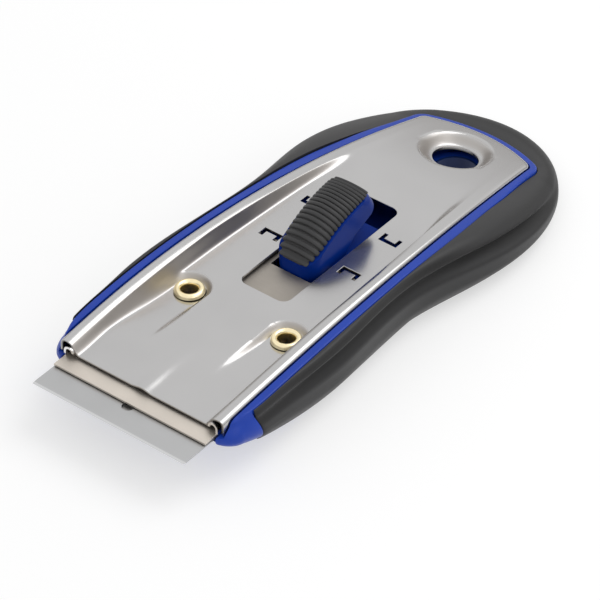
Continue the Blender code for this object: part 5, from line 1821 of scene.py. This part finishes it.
def add_horizon(shade):
    """Low dusky band far round the tool that only reflections see, so that steep metal has tone."""
    shape = bmesh.new()
    outline = circle(0.0, 0.0, HORIZON_RADIUS)
    low, high = ([shape.verts.new((x, y, z)) for x, y in outline] for z in (0.0, HORIZON_HEIGHT))
    bridge(shape, low, high)
    finish = Finish("dusk")
    fade = (1.0 - finish.axis("Z") / HORIZON_HEIGHT).highest(0.0) ** HORIZON_FADE
    reflected = finish.node("ShaderNodeLightPath", output="Is Glossy Ray")
    clear = finish.node("ShaderNodeBsdfTransparent")
    glow = finish.node("ShaderNodeEmission", None, {"Color": (*shade, 1.0), "Strength": 1.0})
    finish.cover(finish.node("ShaderNodeMixShader", None, {0: reflected * fade, 1: clear, 2: glow}))
    to_object("horizon", shape, finish.material, Vector())


def add_world(ambient):
    """Even light all round, with a white background."""
    world = bpy.data.worlds.new("studio")
    world.use_nodes = True
    bpy.context.scene.world = world
    book = NodeBook(world.node_tree)
    background = world.node_tree.nodes["Background"]
    book.feed(background.inputs["Color"], WHITE)
    book.feed(background.inputs["Strength"], ambient + (1.0 - ambient) * lit_background(book))


def add_camera(stage, target):
    """Camera at the stage's angle and distance from its target."""
    ahead = Vector((math.sin(stage.azimuth), -math.cos(stage.azimuth), 0.0))
    away = ahead * math.cos(stage.elevation) + Vector((0.0, 0.0, math.sin(stage.elevation)))
    camera = bpy.data.cameras.new("camera")
    camera.sensor_width = SENSOR_WIDTH
    camera.lens = stage.lens
    item = bpy.data.objects.new("camera", camera)
    item.location = target + away * stage.distance
    item.rotation_euler = (-away).to_track_quat("-Z", "Y").to_euler()
    bpy.context.scene.collection.objects.link(item)
    bpy.context.scene.camera = item


class SCRAPER_OT_stage(bpy.types.Operator):
    """Set up the floor, the light and the camera"""
    bl_idname = "scraper.stage"
    bl_label = "Stage"

    def execute(self, context):
        stage = context.scene.scraper.stage
        target = DATUM + Vector((stage.target_x, stage.target_y, 0.0))
        add_camera(stage, target)
        context.scene.view_settings.view_transform = "Standard"
        add_world(stage.ambient)
        add_floor()
        add_horizon(stage.dusk)
        add_lamp("key", stage.key, KEY_SIZE, KEY_PLACE, target)
        add_lamp("fill", stage.fill, FILL_SIZE, FILL_PLACE, target)
        return {"FINISHED"}


OPERATORS = (
    SCRAPER_OT_cover_plate, SCRAPER_OT_eyelets, SCRAPER_OT_tray, SCRAPER_OT_grip, SCRAPER_OT_carriage,
    SCRAPER_OT_thumb_slider, SCRAPER_OT_thumb_pad, SCRAPER_OT_stage,
)


class SCRAPER_PT_panel(bpy.types.Panel):
    """Sidebar panel that lists the pieces and their settings"""
    bl_idname = "SCRAPER_PT_panel"
    bl_label = "Glass Scraper"
    bl_space_type = "VIEW_3D"
    bl_region_type = "UI"
    bl_category = "Scraper"

    def draw(self, context):
        settings = context.scene.scraper
        for operator in OPERATORS:
            self.layout.operator(operator.bl_idname)
        for group in settings.bl_rna.properties:
            if group.type == "POINTER" and group.identifier != "rna_type":
                box_layout = self.layout.box()
                box_layout.label(text=group.name)
                values = getattr(settings, group.identifier)
                for value in values.bl_rna.properties:
                    if value.identifier not in {"rna_type", "name"}:
                        box_layout.prop(values, value.identifier)


CLASSES = (
    PlateSizes, EyeletSizes, TraySizes, GripSizes, SliderSizes, CarriageFinish, StageSettings,
    ScraperSettings, *OPERATORS, SCRAPER_PT_panel,
)


def register():
    """Register the classes and the scene's settings."""
    for item in CLASSES:
        bpy.utils.register_class(item)
    bpy.types.Scene.scraper = bpy.props.PointerProperty(type=ScraperSettings)


def unregister():
    """Take the settings and the classes away again."""
    del bpy.types.Scene.scraper
    for item in reversed(CLASSES):
        bpy.utils.unregister_class(item)


def main():
    """Make every piece and the stage."""
    register()
    bpy.ops.scraper.cover_plate()
    bpy.ops.scraper.eyelets()
    bpy.ops.scraper.tray()
    bpy.ops.scraper.grip()
    bpy.ops.scraper.carriage()
    bpy.ops.scraper.thumb_slider()
    bpy.ops.scraper.thumb_pad()
    bpy.ops.scraper.stage()


if __name__ == "__main__":
    main()
